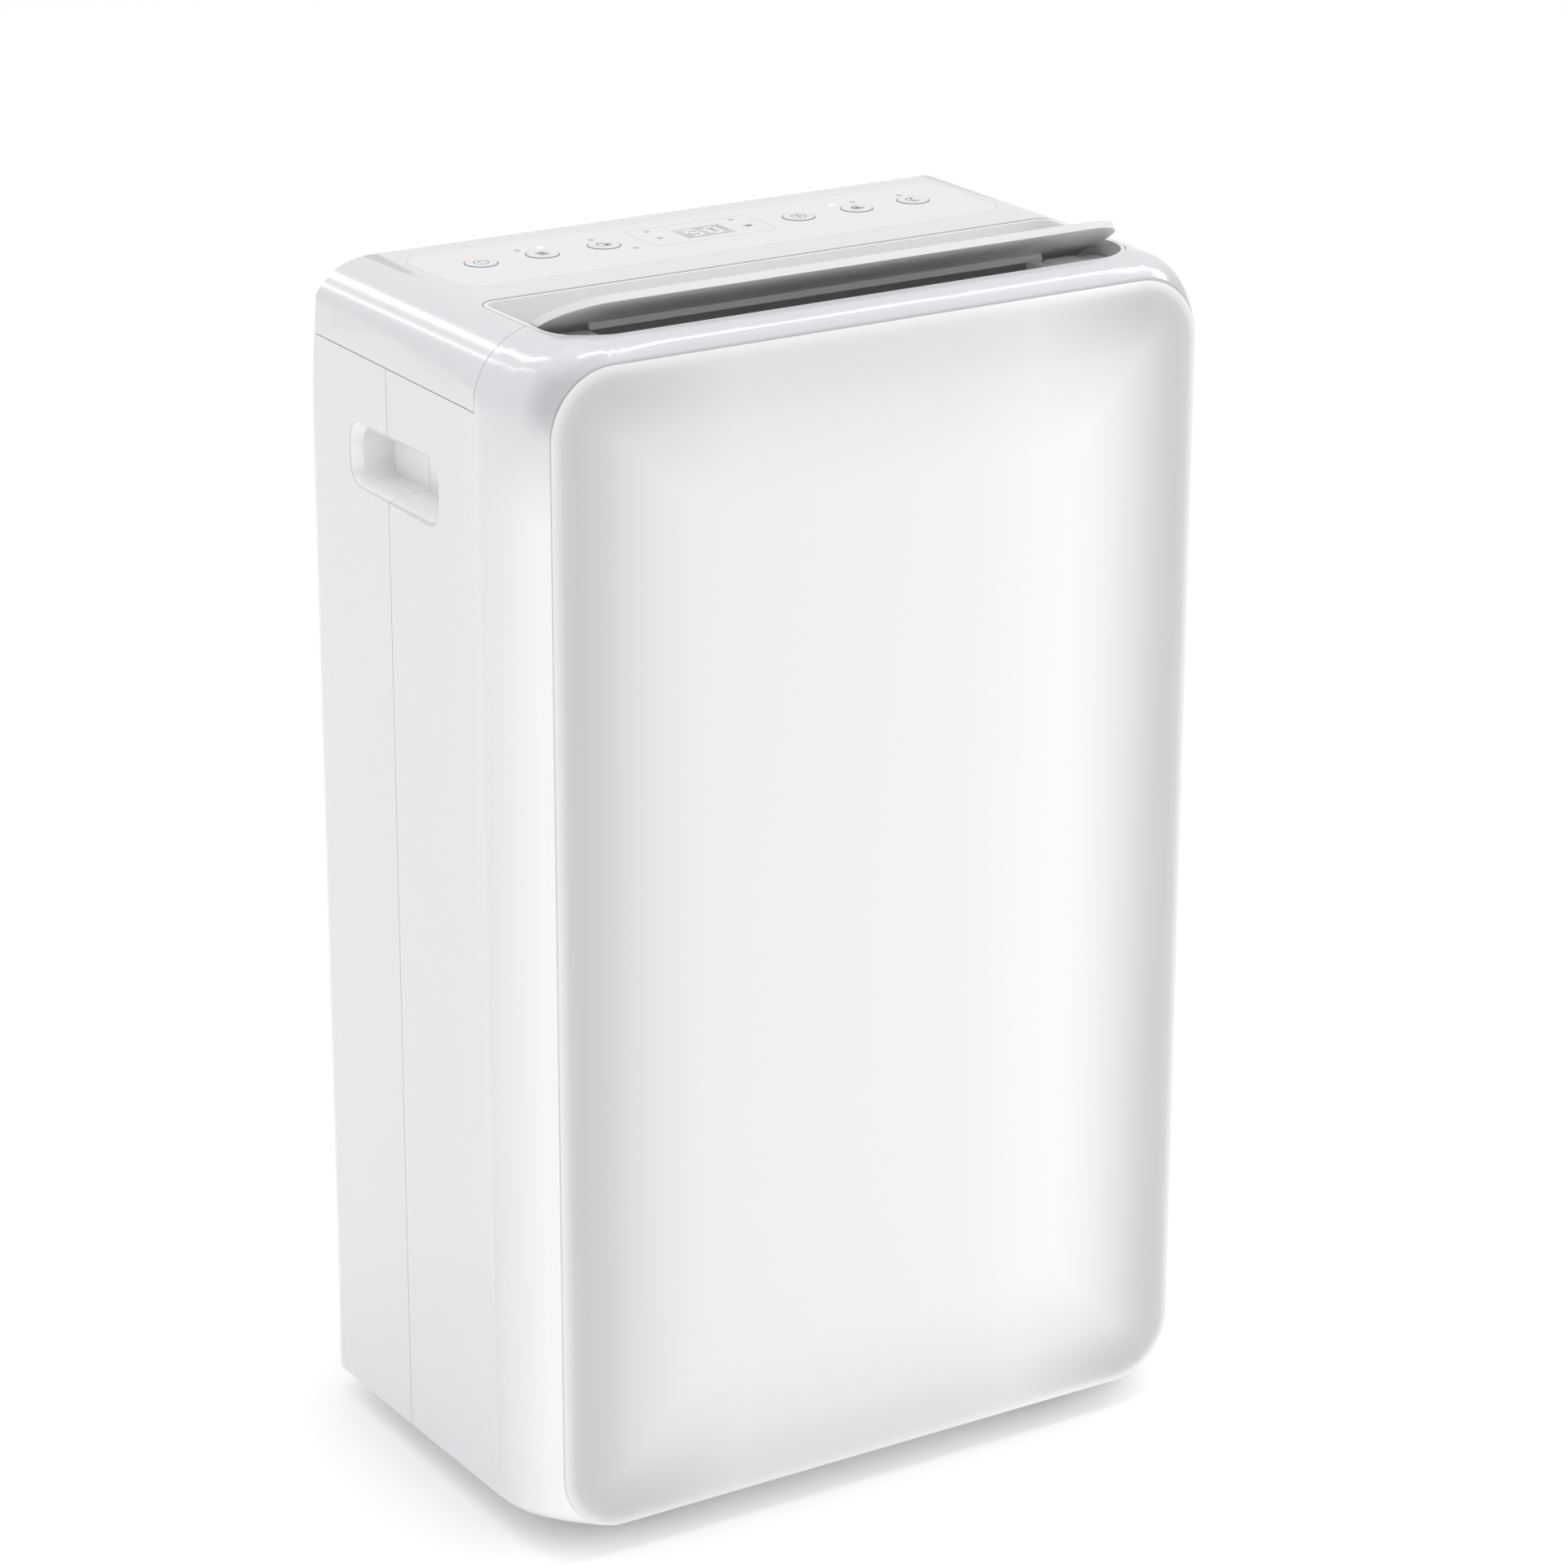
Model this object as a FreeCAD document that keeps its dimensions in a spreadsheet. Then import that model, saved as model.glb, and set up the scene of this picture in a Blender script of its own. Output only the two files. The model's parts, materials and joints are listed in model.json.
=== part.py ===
"""A free-standing room dehumidifier on four casters, as a parametric FreeCAD document.

Frame: millimetres, +Z up, X across the front, -Y towards the front panel.
Origin: on the floor under the centre of the casing.
"""

import FreeCAD, Part

import math
import os
import re

import Sketcher

V = FreeCAD.Vector

# ----------------------------------------------------------------------------------------------
# Driving sizes
# ----------------------------------------------------------------------------------------------

SIZES = {
    # casing, outside
    "body_width": 362,
    "body_depth": 228,
    "body_height": 564,
    "floor_gap": 14,
    "panel_width": 341,
    "panel_height": 555,
    "panel_corner": 31,
    "panel_back": 1,
    "panel_wall": 2.4,
    "crown": 4,
    "crown_run": 38,
    "front_blend": 46,
    "top_blend": 15,
    "shoulder_radius": 34,
    "base_radius": 10,
    "crease_depth": 58,
    "crease_step": 1,
    "rear_taper": 4,
    "rear_corner": 18,
    "rear_bend_height": 290,
    "rear_lean": 24,
    "rear_top_radius": 8,
    "rear_bend_ease": 0.6,
    "wall": 2.6,
    # seams and fits
    "seam_gap": 0.4,
    "loose_gap": 0.3,
    "running_gap": 0.05,
    "side_seam_depth": 136,
    "cover_height": 528,
    "cover_front": 50,
    "base_flange": 20,
    # handle recess in each side
    "grip_front": 83,
    "grip_rear": 178,
    "grip_low": 463,
    "grip_high": 500,
    "grip_corner": 13,
    "grip_flare_front": 12,
    "grip_flare_rear": 7,
    "grip_flare_low": 5,
    "grip_flare_high": 8,
    "grip_flare_depth": 9,
    "grip_depth": 24,
    # air outlet in the top
    "outlet_half": 154,
    "outlet_front": 15,
    "outlet_rear": 96,
    "outlet_front_corner": 27,
    "outlet_rear_corner": 9,
    "liner_wall": 2,
    "liner_low": 518,
    "liner_rim": 0.6,
    "divider_left": -130,
    "divider_right": 115,
    "vane_gap": 1,
    "vane_thickness": 3.5,
    "vane_drop": 4,
    "vane_open": 29,
    "vane_pin_radius": 2,
    # control panel
    "overlay_half": 146,
    "overlay_front": 118,
    "overlay_rear": 184,
    "overlay_corner": 14,
    "overlay_thickness": 0.5,
    "button_depth": 156,
    "button_radius": 7.5,
    "button_rise": 0.6,
    "button_travel": 1,
    "button_inner": 53,
    "button_middle": 85.5,
    "button_outer": 117.5,
    "led_radius": 1.5,
    "led_depth": 168,
    "window_width": 25.5,
    "window_length": 17,
    "window_depth": 155,
    "board_height": 548,
    "board_thickness": 1.6,
    "switch_height": 5,
    # base and casters
    "tray_thickness": 3,
    "caster_x": 112,
    "caster_y": 66,
    "caster_trail": 8,
    "wheel_radius": 12,
    "wheel_width": 12,
    "wheel_gap": 0.6,
    "axle_radius": 2,
    "stem_radius": 3,
    "stem_length": 6.5,
    "fork_cheek": 2,
    "fork_crown": 3.2,
    "well_radius": 23,
    "well_wall": 2,
    "well_roof": 3,
    # water tank
    "tank_half": 130,
    "tank_front": 118,
    "tank_low": 26,
    "tank_high": 172,
    "tank_wall": 2.2,
    "tank_recess": 0.6,
    "tank_gap": 1.5,
    "lid_thickness": 2.5,
    "float_x": -40,
    "float_half": 12,
    "float_arm_half": 6,
    "float_reach": 20,
    "float_length": 26,
    "float_drop": 14,
    "float_rise": 3,
    "bay_wall": 2,
    "bay_high": 188,
    "pull_half": 45,
    "pull_low": 128,
    "pull_high": 158,
    "pull_depth": 16,
    # coils and air path
    "shroud_half": 132,
    "shroud_front": 76,
    "shroud_rear": 178,
    "shroud_high": 452,
    "shroud_wall": 2,
    "inlet_radius": 78,
    "fin_half": 118,
    "fin_count": 30,
    "fin_thickness": 0.8,
    "coil_thickness": 22,
    "coil_low": 212,
    "coil_high": 444,
    "condenser_front": 122,
    "evaporator_front": 148,
    "tube_radius": 4,
    "tube_rows": 6,
    "pan_height": 14,
    "nozzle_radius": 5,
    "scroll_half": 120,
    "scroll_front": 8,
    "scroll_depth": 66,
    "scroll_low": 196,
    "scroll_high": 446,
    "scroll_wall": 2,
    "fan_height": 318,
    "fan_radius": 92,
    "fan_width": 52,
    "blade_count": 30,
    "blade_length": 18,
    "motor_radius": 34,
    "motor_length": 34,
    "shaft_radius": 4,
    # intake at the rear
    "grille_half": 138,
    "grille_low": 200,
    "grille_high": 460,
    "grille_thickness": 2.2,
    "grille_rows": 28,
    "grille_columns": 5,
    "slot_height": 4.6,
    "rib_width": 4,
    "filter_half": 131,
    "filter_low": 210,
    "filter_high": 448,
    "filter_thickness": 7,
    # case screws, cable inlet and drain port at the rear
    "screw_x": 148,
    "screw_low": 18,
    "screw_high": 484,
    "screw_seat_low": 5,
    "screw_seat_high": 18,
    "screw_head": 4.2,
    "gland_height": 90,
    "spout_height": 150,
    # compressor and its circuit
    "compressor_x": 70,
    "compressor_depth": 58,
    "compressor_radius": 46,
    "compressor_height": 135,
    "grommet_height": 17,
    "foot_circle": 52,
    "foot_radius": 7,
    "pipe_radius": 3,
    "pipe_bend": 12,
}

# Places that many pieces share, as expressions of the sizes above.
FRONT = "(crown - body_depth) / 2"
REAR = "(crown + body_depth) / 2"
BOTTOM = "floor_gap"
TOP = "(floor_gap + body_height)"
PIVOT_Y = f"({FRONT} + (outlet_front + outlet_rear) / 2)"
PIVOT_Z = f"({TOP} - vane_drop)"
ACROSS = {"X": V(1, 0, 0), "Y": V(0, 1, 0), "Z": V(0, 0, 1)}

doc = FreeCAD.newDocument("dehumidifier")
sheet = doc.addObject("Spreadsheet::Sheet", "Sizes")
for row, (alias, number) in enumerate(SIZES.items(), 1):
    sheet.set(f"A{row}", alias)
    sheet.set(f"B{row}", str(number))
    sheet.setAlias(f"B{row}", alias)
doc.recompute()


# ----------------------------------------------------------------------------------------------
# Helpers
# ----------------------------------------------------------------------------------------------

def size(alias):
    """The number in one cell of the sheet."""
    return float(sheet.get(alias))


def link(text):
    """An expression whose size names point at the cells of the sheet."""
    def named(word):
        return "Sizes." + word.group() if word.group() in SIZES else word.group()
    return re.sub(r"[a-z][a-z0-9_]*", named, text)


def bind(thing, **expressions):
    """Bind properties of an object to expressions of the sizes."""
    for name, text in expressions.items():
        thing.setExpression(name, link(text))


def place(thing, x="0", y="0", z="0"):
    """Bind where an object lies."""
    for letter, text in zip("xyz", (x, y, z)):
        thing.setExpression(f"Placement.Base.{letter}", link(text))


def depth(text):
    """A place counted back from the panel's edge plane."""
    return f"{FRONT} + {text}"


def height(text):
    """A place counted up from the underside of the casing."""
    return f"{BOTTOM} + {text}"


def block(name, x, y, z):
    """A box from its low and high side along each axis."""
    solid = doc.addObject("Part::Box", name)
    bind(solid, Length=f"({x[1]}) - ({x[0]})", Width=f"({y[1]}) - ({y[0]})", Height=f"({z[1]}) - ({z[0]})")
    place(solid, x[0], y[0], z[0])
    return solid


def rod(name, radius, start, length, axis="Z"):
    """A cylinder from the middle of one end, along one axis."""
    solid = doc.addObject("Part::Cylinder", name)
    bind(solid, Radius=radius, Height=length)
    solid.Placement.Rotation = FreeCAD.Rotation(ACROSS["Z"], ACROSS[axis])
    place(solid, *start)
    return solid


def join(name, pieces):
    """Pieces fused into one."""
    whole = doc.addObject("Part::MultiFuse", name)
    whole.Shapes = pieces
    whole.Refine = True
    return whole


def group(name, pieces):
    """Pieces kept apart in one object."""
    whole = doc.addObject("Part::Compound", name)
    whole.Links = pieces
    return whole


def cut(name, base, tools):
    """A piece less one tool or several."""
    rest = doc.addObject("Part::Cut", name)
    rest.Base = base
    rest.Tool = tools[0] if len(tools) == 1 else group(name + "_tools", tools)
    return rest


def common(name, first, second):
    """What two pieces share."""
    shared = doc.addObject("Part::MultiCommon", name)
    shared.Shapes = [first, second]
    return shared


def runs_along(edge, axis):
    """Whether an edge is straight and lies along an axis."""
    if not isinstance(edge.Curve, Part.Line):
        return False
    return abs(edge.Curve.Direction.dot(ACROSS[axis])) > 0.999


def rounded(name, base, axis, radius):
    """Round a piece's edges along one axis; radius is a number or a function of an edge's middle."""
    doc.recompute()
    fillet = doc.addObject("Part::Fillet", name)
    fillet.Base = base
    edges = []
    for index, edge in enumerate(base.Shape.Edges, 1):
        if runs_along(edge, axis):
            amount = radius(edge.CenterOfMass) if callable(radius) else radius
            if amount > 0:
                edges.append((index, amount, amount))
    fillet.Edges = edges
    return fillet


def fixed_shape(name, shape):
    """An object whose shape is worked out here from the sheet."""
    thing = doc.addObject("Part::Feature", name)
    thing.Shape = shape
    return thing


def rounded_wire(low_a, high_a, low_b, high_b, radii, point):
    """A closed outline with four round corners, low-low first and anticlockwise; point(a, b) places it."""
    corners = ((low_a, low_b, 1, 1), (high_a, low_b, -1, 1), (high_a, high_b, -1, -1),
               (low_a, high_b, 1, -1))
    ends = []
    for (a, b, toward_a, toward_b), radius in zip(corners, radii):
        on_b = (a, b + toward_b * radius)
        on_a = (a + toward_a * radius, b)
        middle = (a + toward_a * radius * (1 - math.sqrt(0.5)),
                  b + toward_b * radius * (1 - math.sqrt(0.5)))
        order = (on_b, middle, on_a) if toward_a == toward_b else (on_a, middle, on_b)
        ends.append([point(*spot) for spot in order])
    edges = []
    for index, (first, middle, last) in enumerate(ends):
        edges.append(Part.Arc(first, middle, last).toShape())
        edges.append(Part.LineSegment(last, ends[(index + 1) % 4][0]).toShape())
    return Part.Wire(edges)


def finish(label, thing):
    """Give a sub-part the name of its node."""
    thing.Label = label
    nodes.append(thing)
    return thing


def on_top(label, base, tools):
    """A sub-part that is a piece less some tools."""
    return finish(label, cut(label, base, tools))


nodes = []


# ----------------------------------------------------------------------------------------------
# PartDesign helpers
# ----------------------------------------------------------------------------------------------

def new_body(label):
    """A body that becomes one sub-part."""
    body = doc.addObject("PartDesign::Body", label)
    return finish(label, body)


def new_sketch(body, plane, offset="0"):
    """A sketch on one of the body's own origin planes, moved along the plane's normal."""
    sketch = body.newObject("Sketcher::SketchObject", body.Label + "_outline")
    support = [item for item in body.Origin.OriginFeatures if item.Role == plane + "_Plane"][0]
    sketch.AttachmentSupport = [(support, "")]
    sketch.MapMode = "FlatFace"
    sketch.setExpression("AttachmentOffset.Base.z", link(offset))
    return sketch


def hold(sketch, kind, places, text):
    """One dimension of a sketch, bound to an expression."""
    index = sketch.addConstraint(Sketcher.Constraint(kind, *places, 10.0))
    sketch.setExpression(f"Constraints[{index}]", link(text))


def draw_rectangle(sketch, low_a, high_a, low_b, high_b):
    """Four lines whose sides are bound to expressions."""
    spots = [V(-10, -10, 0), V(10, -10, 0), V(10, 10, 0), V(-10, 10, 0)]
    first = sketch.GeometryCount
    for index in range(4):
        sketch.addGeometry(Part.LineSegment(spots[index], spots[(index + 1) % 4]), False)
    for index in range(4):
        sketch.addConstraint(Sketcher.Constraint("Coincident", first + index, 2, first + (index + 1) % 4,
                                                 1))
        kind = "Horizontal" if index % 2 == 0 else "Vertical"
        sketch.addConstraint(Sketcher.Constraint(kind, first + index))
    hold(sketch, "DistanceX", (-1, 1, first, 1), low_a)
    hold(sketch, "DistanceY", (-1, 1, first, 1), low_b)
    hold(sketch, "DistanceX", (-1, 1, first + 2, 1), high_a)
    hold(sketch, "DistanceY", (-1, 1, first + 2, 1), high_b)


def draw_circle(sketch, a, b, radius):
    """A circle whose centre and radius are bound to expressions."""
    index = sketch.addGeometry(Part.Circle(V(10, 10, 0), V(0, 0, 1), 5), False)
    hold(sketch, "DistanceX", (-1, 1, index, 3), a)
    hold(sketch, "DistanceY", (-1, 1, index, 3), b)
    hold(sketch, "Radius", (index,), radius)


def pad(body, sketch, length):
    """Raise a sketch along its normal."""
    feature = body.newObject("PartDesign::Pad", body.Label + "_pad")
    feature.Profile = sketch
    feature.setExpression("Length", link(length))
    return feature


def pocket(body, sketch, length, against_normal=True):
    """Sink a sketch, against its normal as a rule."""
    before = body.Shape.Volume
    feature = body.newObject("PartDesign::Pocket", body.Label + "_pocket")
    feature.Profile = sketch
    feature.Reversed = not against_normal
    feature.setExpression("Length", link(length))
    doc.recompute()
    if body.Shape.Volume >= before:
        raise RuntimeError(f"{body.Label}: a pocket cut nothing")
    return feature


def round_body(body, axis, radius, keep=None):
    """Round the body's edges along one axis, or those whose middle keep() picks."""
    doc.recompute()
    base = body.Tip
    names = []
    for index, edge in enumerate(base.Shape.Edges, 1):
        if runs_along(edge, axis) and (keep is None or keep(edge.CenterOfMass)):
            names.append(f"Edge{index}")
    feature = body.newObject("PartDesign::Fillet", body.Label + "_round")
    feature.Base = (base, names)
    feature.setExpression("Radius", link(radius))
    return feature


def ease_face(body, normal, amount):
    """Chamfer the outline of the face that looks along a direction, the furthest one."""
    doc.recompute()
    base = body.Tip
    faces = []
    for index, face in enumerate(base.Shape.Faces, 1):
        if isinstance(face.Surface, Part.Plane) and face.normalAt(0, 0).dot(normal) > 0.999:
            faces.append((face.CenterOfMass.dot(normal), f"Face{index}"))
    feature = body.newObject("PartDesign::Chamfer", body.Label + "_ease")
    feature.Base = (base, [max(faces)[1]])
    feature.setExpression("Size", link(amount))
    return feature


# ----------------------------------------------------------------------------------------------
# Casing: the outer form, the hollow in it, and the shells it is split into
# ----------------------------------------------------------------------------------------------

def front_section(back, inset):
    """The casing's outline at one depth, which grows from the panel's outline to the full size."""
    front = (size("crown") - size("body_depth")) / 2
    side_left = max(0.0, 1 - back / size("front_blend")) ** 2
    top_left = max(0.0, 1 - back / size("top_blend")) ** 2
    half = size("body_width") / 2 - (size("body_width") - size("panel_width")) / 2 * side_left - inset
    low = size("floor_gap") + inset
    high = size("floor_gap") + size("body_height") - inset
    high -= (size("body_height") - size("panel_height")) * top_left
    shoulder = size("shoulder_radius") + (size("panel_corner") - size("shoulder_radius")) * side_left - inset
    base = size("base_radius") + (size("panel_corner") - size("base_radius")) * side_left - inset
    return rounded_wire(-half, half, low, high, (base, base, shoulder, shoulder), lambda a,
                        b: V(a, front + back, b))


def rear_plan(inset):
    """Plan of the casing behind its front section: a shallow crease, tapered sides, round corners."""
    front = (size("crown") - size("body_depth")) / 2
    wide = size("body_width") / 2 - inset
    crease = wide - size("crease_step")
    narrow = crease - size("rear_taper")
    rear = front + size("body_depth") - inset
    radius = size("rear_corner") - inset
    start = front + size("front_blend")
    slant = math.atan2(size("rear_taper"), rear - front - size("crease_depth"))
    reach = radius * math.tan(math.pi / 4 + slant / 2)
    on_side = V(narrow + reach * math.sin(slant), rear - reach * math.cos(slant), 0)
    on_rear = V(narrow - reach, rear, 0)
    centre = V(on_rear.x, rear - radius, 0)
    turn = (math.pi / 2 - slant) / 2 + slant
    middle = V(centre.x + radius * math.cos(turn), centre.y + radius * math.sin(turn), 0)
    right = [V(wide, start, 0), V(crease, front + size("crease_depth"), 0), on_side]

    def mirror(spot):
        return V(-spot.x, spot.y, 0)

    edges = [Part.LineSegment(right[0], right[1]).toShape(), Part.LineSegment(right[1], right[2]).toShape()]
    edges.append(Part.Arc(on_side, middle, on_rear).toShape())
    edges.append(Part.LineSegment(on_rear, mirror(on_rear)).toShape())
    edges.append(Part.Arc(mirror(on_rear), mirror(middle), mirror(on_side)).toShape())
    edges.append(Part.LineSegment(mirror(right[2]), mirror(right[1])).toShape())
    edges.append(Part.LineSegment(mirror(right[1]), mirror(right[0])).toShape())
    edges.append(Part.LineSegment(mirror(right[0]), right[0]).toShape())
    return Part.Face(Part.Wire(edges))


def rear_profile(inset):
    """Side view of the casing behind its front section: upright, then leaning forward to the top."""
    front = (size("crown") - size("body_depth")) / 2
    start = front + size("front_blend")
    rear = front + size("body_depth") - inset
    low = size("floor_gap") + inset
    top = size("floor_gap") + size("body_height") - inset
    bend = size("floor_gap") + size("rear_bend_height")
    radius = size("rear_top_radius")
    rise = top - radius - bend
    lean = size("rear_lean")
    sweep = (rise ** 2 + lean ** 2) / (2 * lean)
    half_turn = math.asin(rise / sweep) / 2
    middle = V(0, rear - sweep + sweep * math.cos(half_turn) - size("rear_bend_ease"),
               bend + sweep * math.sin(half_turn))
    last = V(0, rear - lean, top - radius)
    corner = V(0, last.y - radius * (1 - math.sqrt(0.5)), last.z + radius * math.sqrt(0.5))
    edges = [
        Part.LineSegment(V(0, start, low), V(0, rear, low)).toShape(),
        Part.LineSegment(V(0, rear, low), V(0, rear, bend)).toShape(),
        Part.Arc(V(0, rear, bend), middle, last).toShape(),
        Part.Arc(last, corner, V(0, last.y - radius, top)).toShape(),
        Part.LineSegment(V(0, last.y - radius, top), V(0, start, top)).toShape(),
        Part.LineSegment(V(0, start, top), V(0, start, low)).toShape(),
    ]
    return Part.Face(Part.Wire(edges))


def casing_form(name, front_start, inset):
    """The whole body as one smooth form, or the hollow in it when inset is a wall."""
    blend = size("front_blend")
    backs = [back for back in (1.5, 7, 12, 26) if back > front_start + 0.5]
    backs = [front_start] + backs + [blend]
    front = Part.makeLoft([front_section(back, inset) for back in backs], True, False)
    outline = Part.Face(front_section(blend, inset)).extrude(V(0, size("body_depth"), 0))
    plan = rear_plan(inset).extrude(V(0, 0, 2 * size("body_height")))
    side = rear_profile(inset).extrude(V(2 * size("body_width"), 0, 0))
    side.translate(V(-size("body_width"), 0, 0))
    rear = outline.common(plan).common(side)
    return fixed_shape(name, front.fuse(rear))


def grip_wire(x, grow_front, grow_rear, grow_low, grow_high, corner):
    """Outline of the handle recess at one place across, from its inner mouth plus four margins."""
    front = (size("crown") - size("body_depth")) / 2
    low_y = front + size("grip_front") + size("grip_flare_front") - grow_front
    high_y = front + size("grip_rear") - size("grip_flare_rear") + grow_rear
    low_z = size("floor_gap") + size("grip_low") + size("grip_flare_low") - grow_low
    high_z = size("floor_gap") + size("grip_high") - size("grip_flare_high") + grow_high
    return rounded_wire(low_y, high_y, low_z, high_z, (corner,) * 4, lambda a, b: V(x, a, b))


def grip_form(name, side, margin):
    """The handle recess: a flared mouth and a straight pocket behind it, grown by a margin."""
    outer = size("body_width") / 2 + 1
    throat = size("body_width") / 2 - size("grip_flare_depth")
    floor = size("body_width") / 2 - size("grip_depth") - margin
    flares = [size("grip_flare_" + where) + margin for where in ("front", "rear", "low", "high")]
    corner = size("grip_corner") + margin
    tight = size("grip_corner") / 2 + margin
    mouth = grip_wire(side * outer, *flares, corner)
    neck = grip_wire(side * throat, *(margin,) * 4, tight)
    end = grip_wire(side * floor, *(margin,) * 4, tight)
    flare = Part.makeLoft([mouth, neck], True, True)
    pocket_part = Part.makeLoft([neck, end], True, True)
    return fixed_shape(name, flare.fuse(pocket_part))


outer_form = casing_form("casing_form", 0, 0)
hollow_form = casing_form("casing_hollow", size("panel_back") + size("seam_gap") / 2 + size("wall"),
                          size("wall"))


def outlet_prism(name, clearance, low, high):
    """The outlet's outline as a block; a positive clearance makes it smaller."""
    half = f"outlet_half - ({clearance})"
    shape = block(
        name + "_block",
        (f"-({half})", half),
        (depth(f"outlet_front + ({clearance})"), depth(f"outlet_rear - ({clearance})")),
        (low, high),
    )
    middle = (size("crown") - size("body_depth")) / 2 + (size("outlet_front") + size("outlet_rear")) / 2
    shrink = {"0": 0.0, "seam_gap": size("seam_gap")}.get(clearance)
    if shrink is None:
        shrink = size("seam_gap") + size("liner_wall")
    return rounded(
        name,
        shape,
        "Z",
        lambda spot: size("outlet_front_corner" if spot.y < middle else "outlet_rear_corner") - shrink,
    )


def casing_skin():
    """The casing's walls with its recesses, outlet and bottom opening, before it is split."""
    shell = cut("casing_walls", outer_form, [hollow_form])
    pieces = [shell]
    recesses = []
    for side, word in ((-1, "left"), (1, "right")):
        pieces.append(common(f"grip_wall_{word}", grip_form(f"grip_outer_{word}", side, size("wall")),
                             outer_form))
        recesses.append(grip_form(f"grip_recess_{word}", side, 0))
    outlet = outlet_prism("outlet_cut", "0", height("liner_low + 20"), f"{TOP} + 10")
    opening = block(
        "base_opening",
        ("base_flange - body_width / 2", "body_width / 2 - base_flange"),
        (depth("base_flange"), f"{REAR} - base_flange"),
        ("0", height("wall + 1")),
    )
    return cut("casing_skin", join("casing_joined", pieces), recesses + [outlet, opening])


skin = casing_skin()


def shell_regions():
    """Boxes that split the skin: front shell, rear shell and top cover, a seam apart."""
    wide = ("-body_width", "body_width")
    half_gap = "seam_gap / 2"
    front_low = block(
        "front_region_low",
        wide,
        (depth("panel_back + seam_gap / 2"), depth(f"side_seam_depth - {half_gap}")),
        ("0", height(f"cover_height - {half_gap}")),
    )
    front_high = block(
        "front_region_high",
        wide,
        (depth("panel_back + seam_gap / 2"), depth(f"cover_front - {half_gap}")),
        (height("cover_height / 2"), f"{TOP} + 50"),
    )
    rear = block(
        "rear_region",
        wide,
        (depth(f"side_seam_depth + {half_gap}"), f"{REAR} + 50"),
        ("0", height(f"cover_height - {half_gap}")),
    )
    top = block(
        "top_region",
        wide,
        (depth(f"cover_front + {half_gap}"), f"{REAR} + 50"),
        (height(f"cover_height + {half_gap}"), f"{TOP} + 50"),
    )
    return join("front_region", [front_low, front_high]), rear, top


front_region, rear_region, top_region = shell_regions()


def front_shell():
    """Front half of the casing, with the wall behind the panel."""
    finish("front_shell", common("front_shell", skin, front_region))


def screw_spots():
    """The four case screws: across, height, and how far in from the rear plane each head sits."""
    levels = (("screw_low", "screw_seat_low"), ("screw_high", "screw_seat_high"))
    return [(f"{side} * screw_x", level, seat) for side in (-1, 1) for level, seat in levels]


def rear_shell():
    """Rear half of the casing: intake window, tank window, screw bosses, inlets."""
    half = common("rear_half", skin, rear_region)
    grille_window = block(
        "grille_window",
        ("-grille_half - seam_gap", "grille_half + seam_gap"),
        (depth("side_seam_depth + 30"), f"{REAR} + 5"),
        (height("grille_low - seam_gap"), height("grille_high + seam_gap")),
    )
    tank_window = block(
        "tank_window",
        ("-tank_half - 2 * seam_gap", "tank_half + 2 * seam_gap"),
        (depth("side_seam_depth + 30"), f"{REAR} + 5"),
        (height("tank_low - 2 * seam_gap"), height("tank_high + lid_thickness + 3 * seam_gap")),
    )
    bosses = []
    holes = [grille_window, tank_window]
    for index, (x, level, seat) in enumerate(screw_spots()):
        bosses.append(rod(f"screw_boss_{index}", "screw_head + 3",
                          (x, f"{REAR} - {seat} - 12", height(level)), "40", "Y"))
        sink_start = (x, f"{REAR} - {seat}", height(level))
        holes.append(rod(f"screw_sink_{index}", "screw_head + loose_gap", sink_start, "40", "Y"))
        holes.append(rod(f"screw_hole_{index}", "2", (x, f"{REAR} - {seat} - 20", height(level)), "40",
                         "Y"))
    holes.append(rod("gland_hole", "7", ("screw_x", f"{REAR} - 20", height("gland_height")), "30", "Y"))
    holes.append(rod("spout_hole", "8", ("-screw_x", f"{REAR} - 20", height("spout_height")), "30", "Y"))
    inner = common("screw_bosses", join("screw_boss_group", bosses), outer_form)
    on_top("rear_shell", join("rear_joined", [half, inner]), holes)


def case_screws():
    """Four screws that hold the rear shell, each a washer head on a shank."""
    screws = []
    for index, (x, level, seat) in enumerate(screw_spots()):
        head = rod(f"screw_head_{index}", "screw_head", (x, f"{REAR} - {seat}", height(level)), "2.6", "Y")
        shank = rod(f"screw_shank_{index}", "1.9", (x, f"{REAR} - {seat} - 14", height(level)), "14.5", "Y")
        slot_x = (f"{x} - 2.6", f"{x} + 2.6")
        slot = block(f"screw_slot_{index}", slot_x, (f"{REAR} - {seat} + 1.4", f"{REAR} - {seat} + 3"),
                     (height(f"{level} - 0.45"), height(f"{level} + 0.45")))
        cross = block(f"screw_cross_{index}", (f"{x} - 0.45", f"{x} + 0.45"),
                      (f"{REAR} - {seat} + 1.4", f"{REAR} - {seat} + 3"), (height(f"{level} - 2.6"),
                                                                           height(f"{level} + 2.6")))
        screws.append(cut(f"screw_{index}", join(f"screw_blank_{index}", [head, shank]), [slot, cross]))
    finish("case_screws", group("case_screws", screws))


BUTTONS = (
    ("button_power", "-button_outer"),
    ("button_mode", "-button_middle"),
    ("button_humidity", "-button_inner"),
    ("button_timer", "button_inner"),
    ("button_fan", "button_middle"),
    ("button_sleep", "button_outer"),
)

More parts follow.
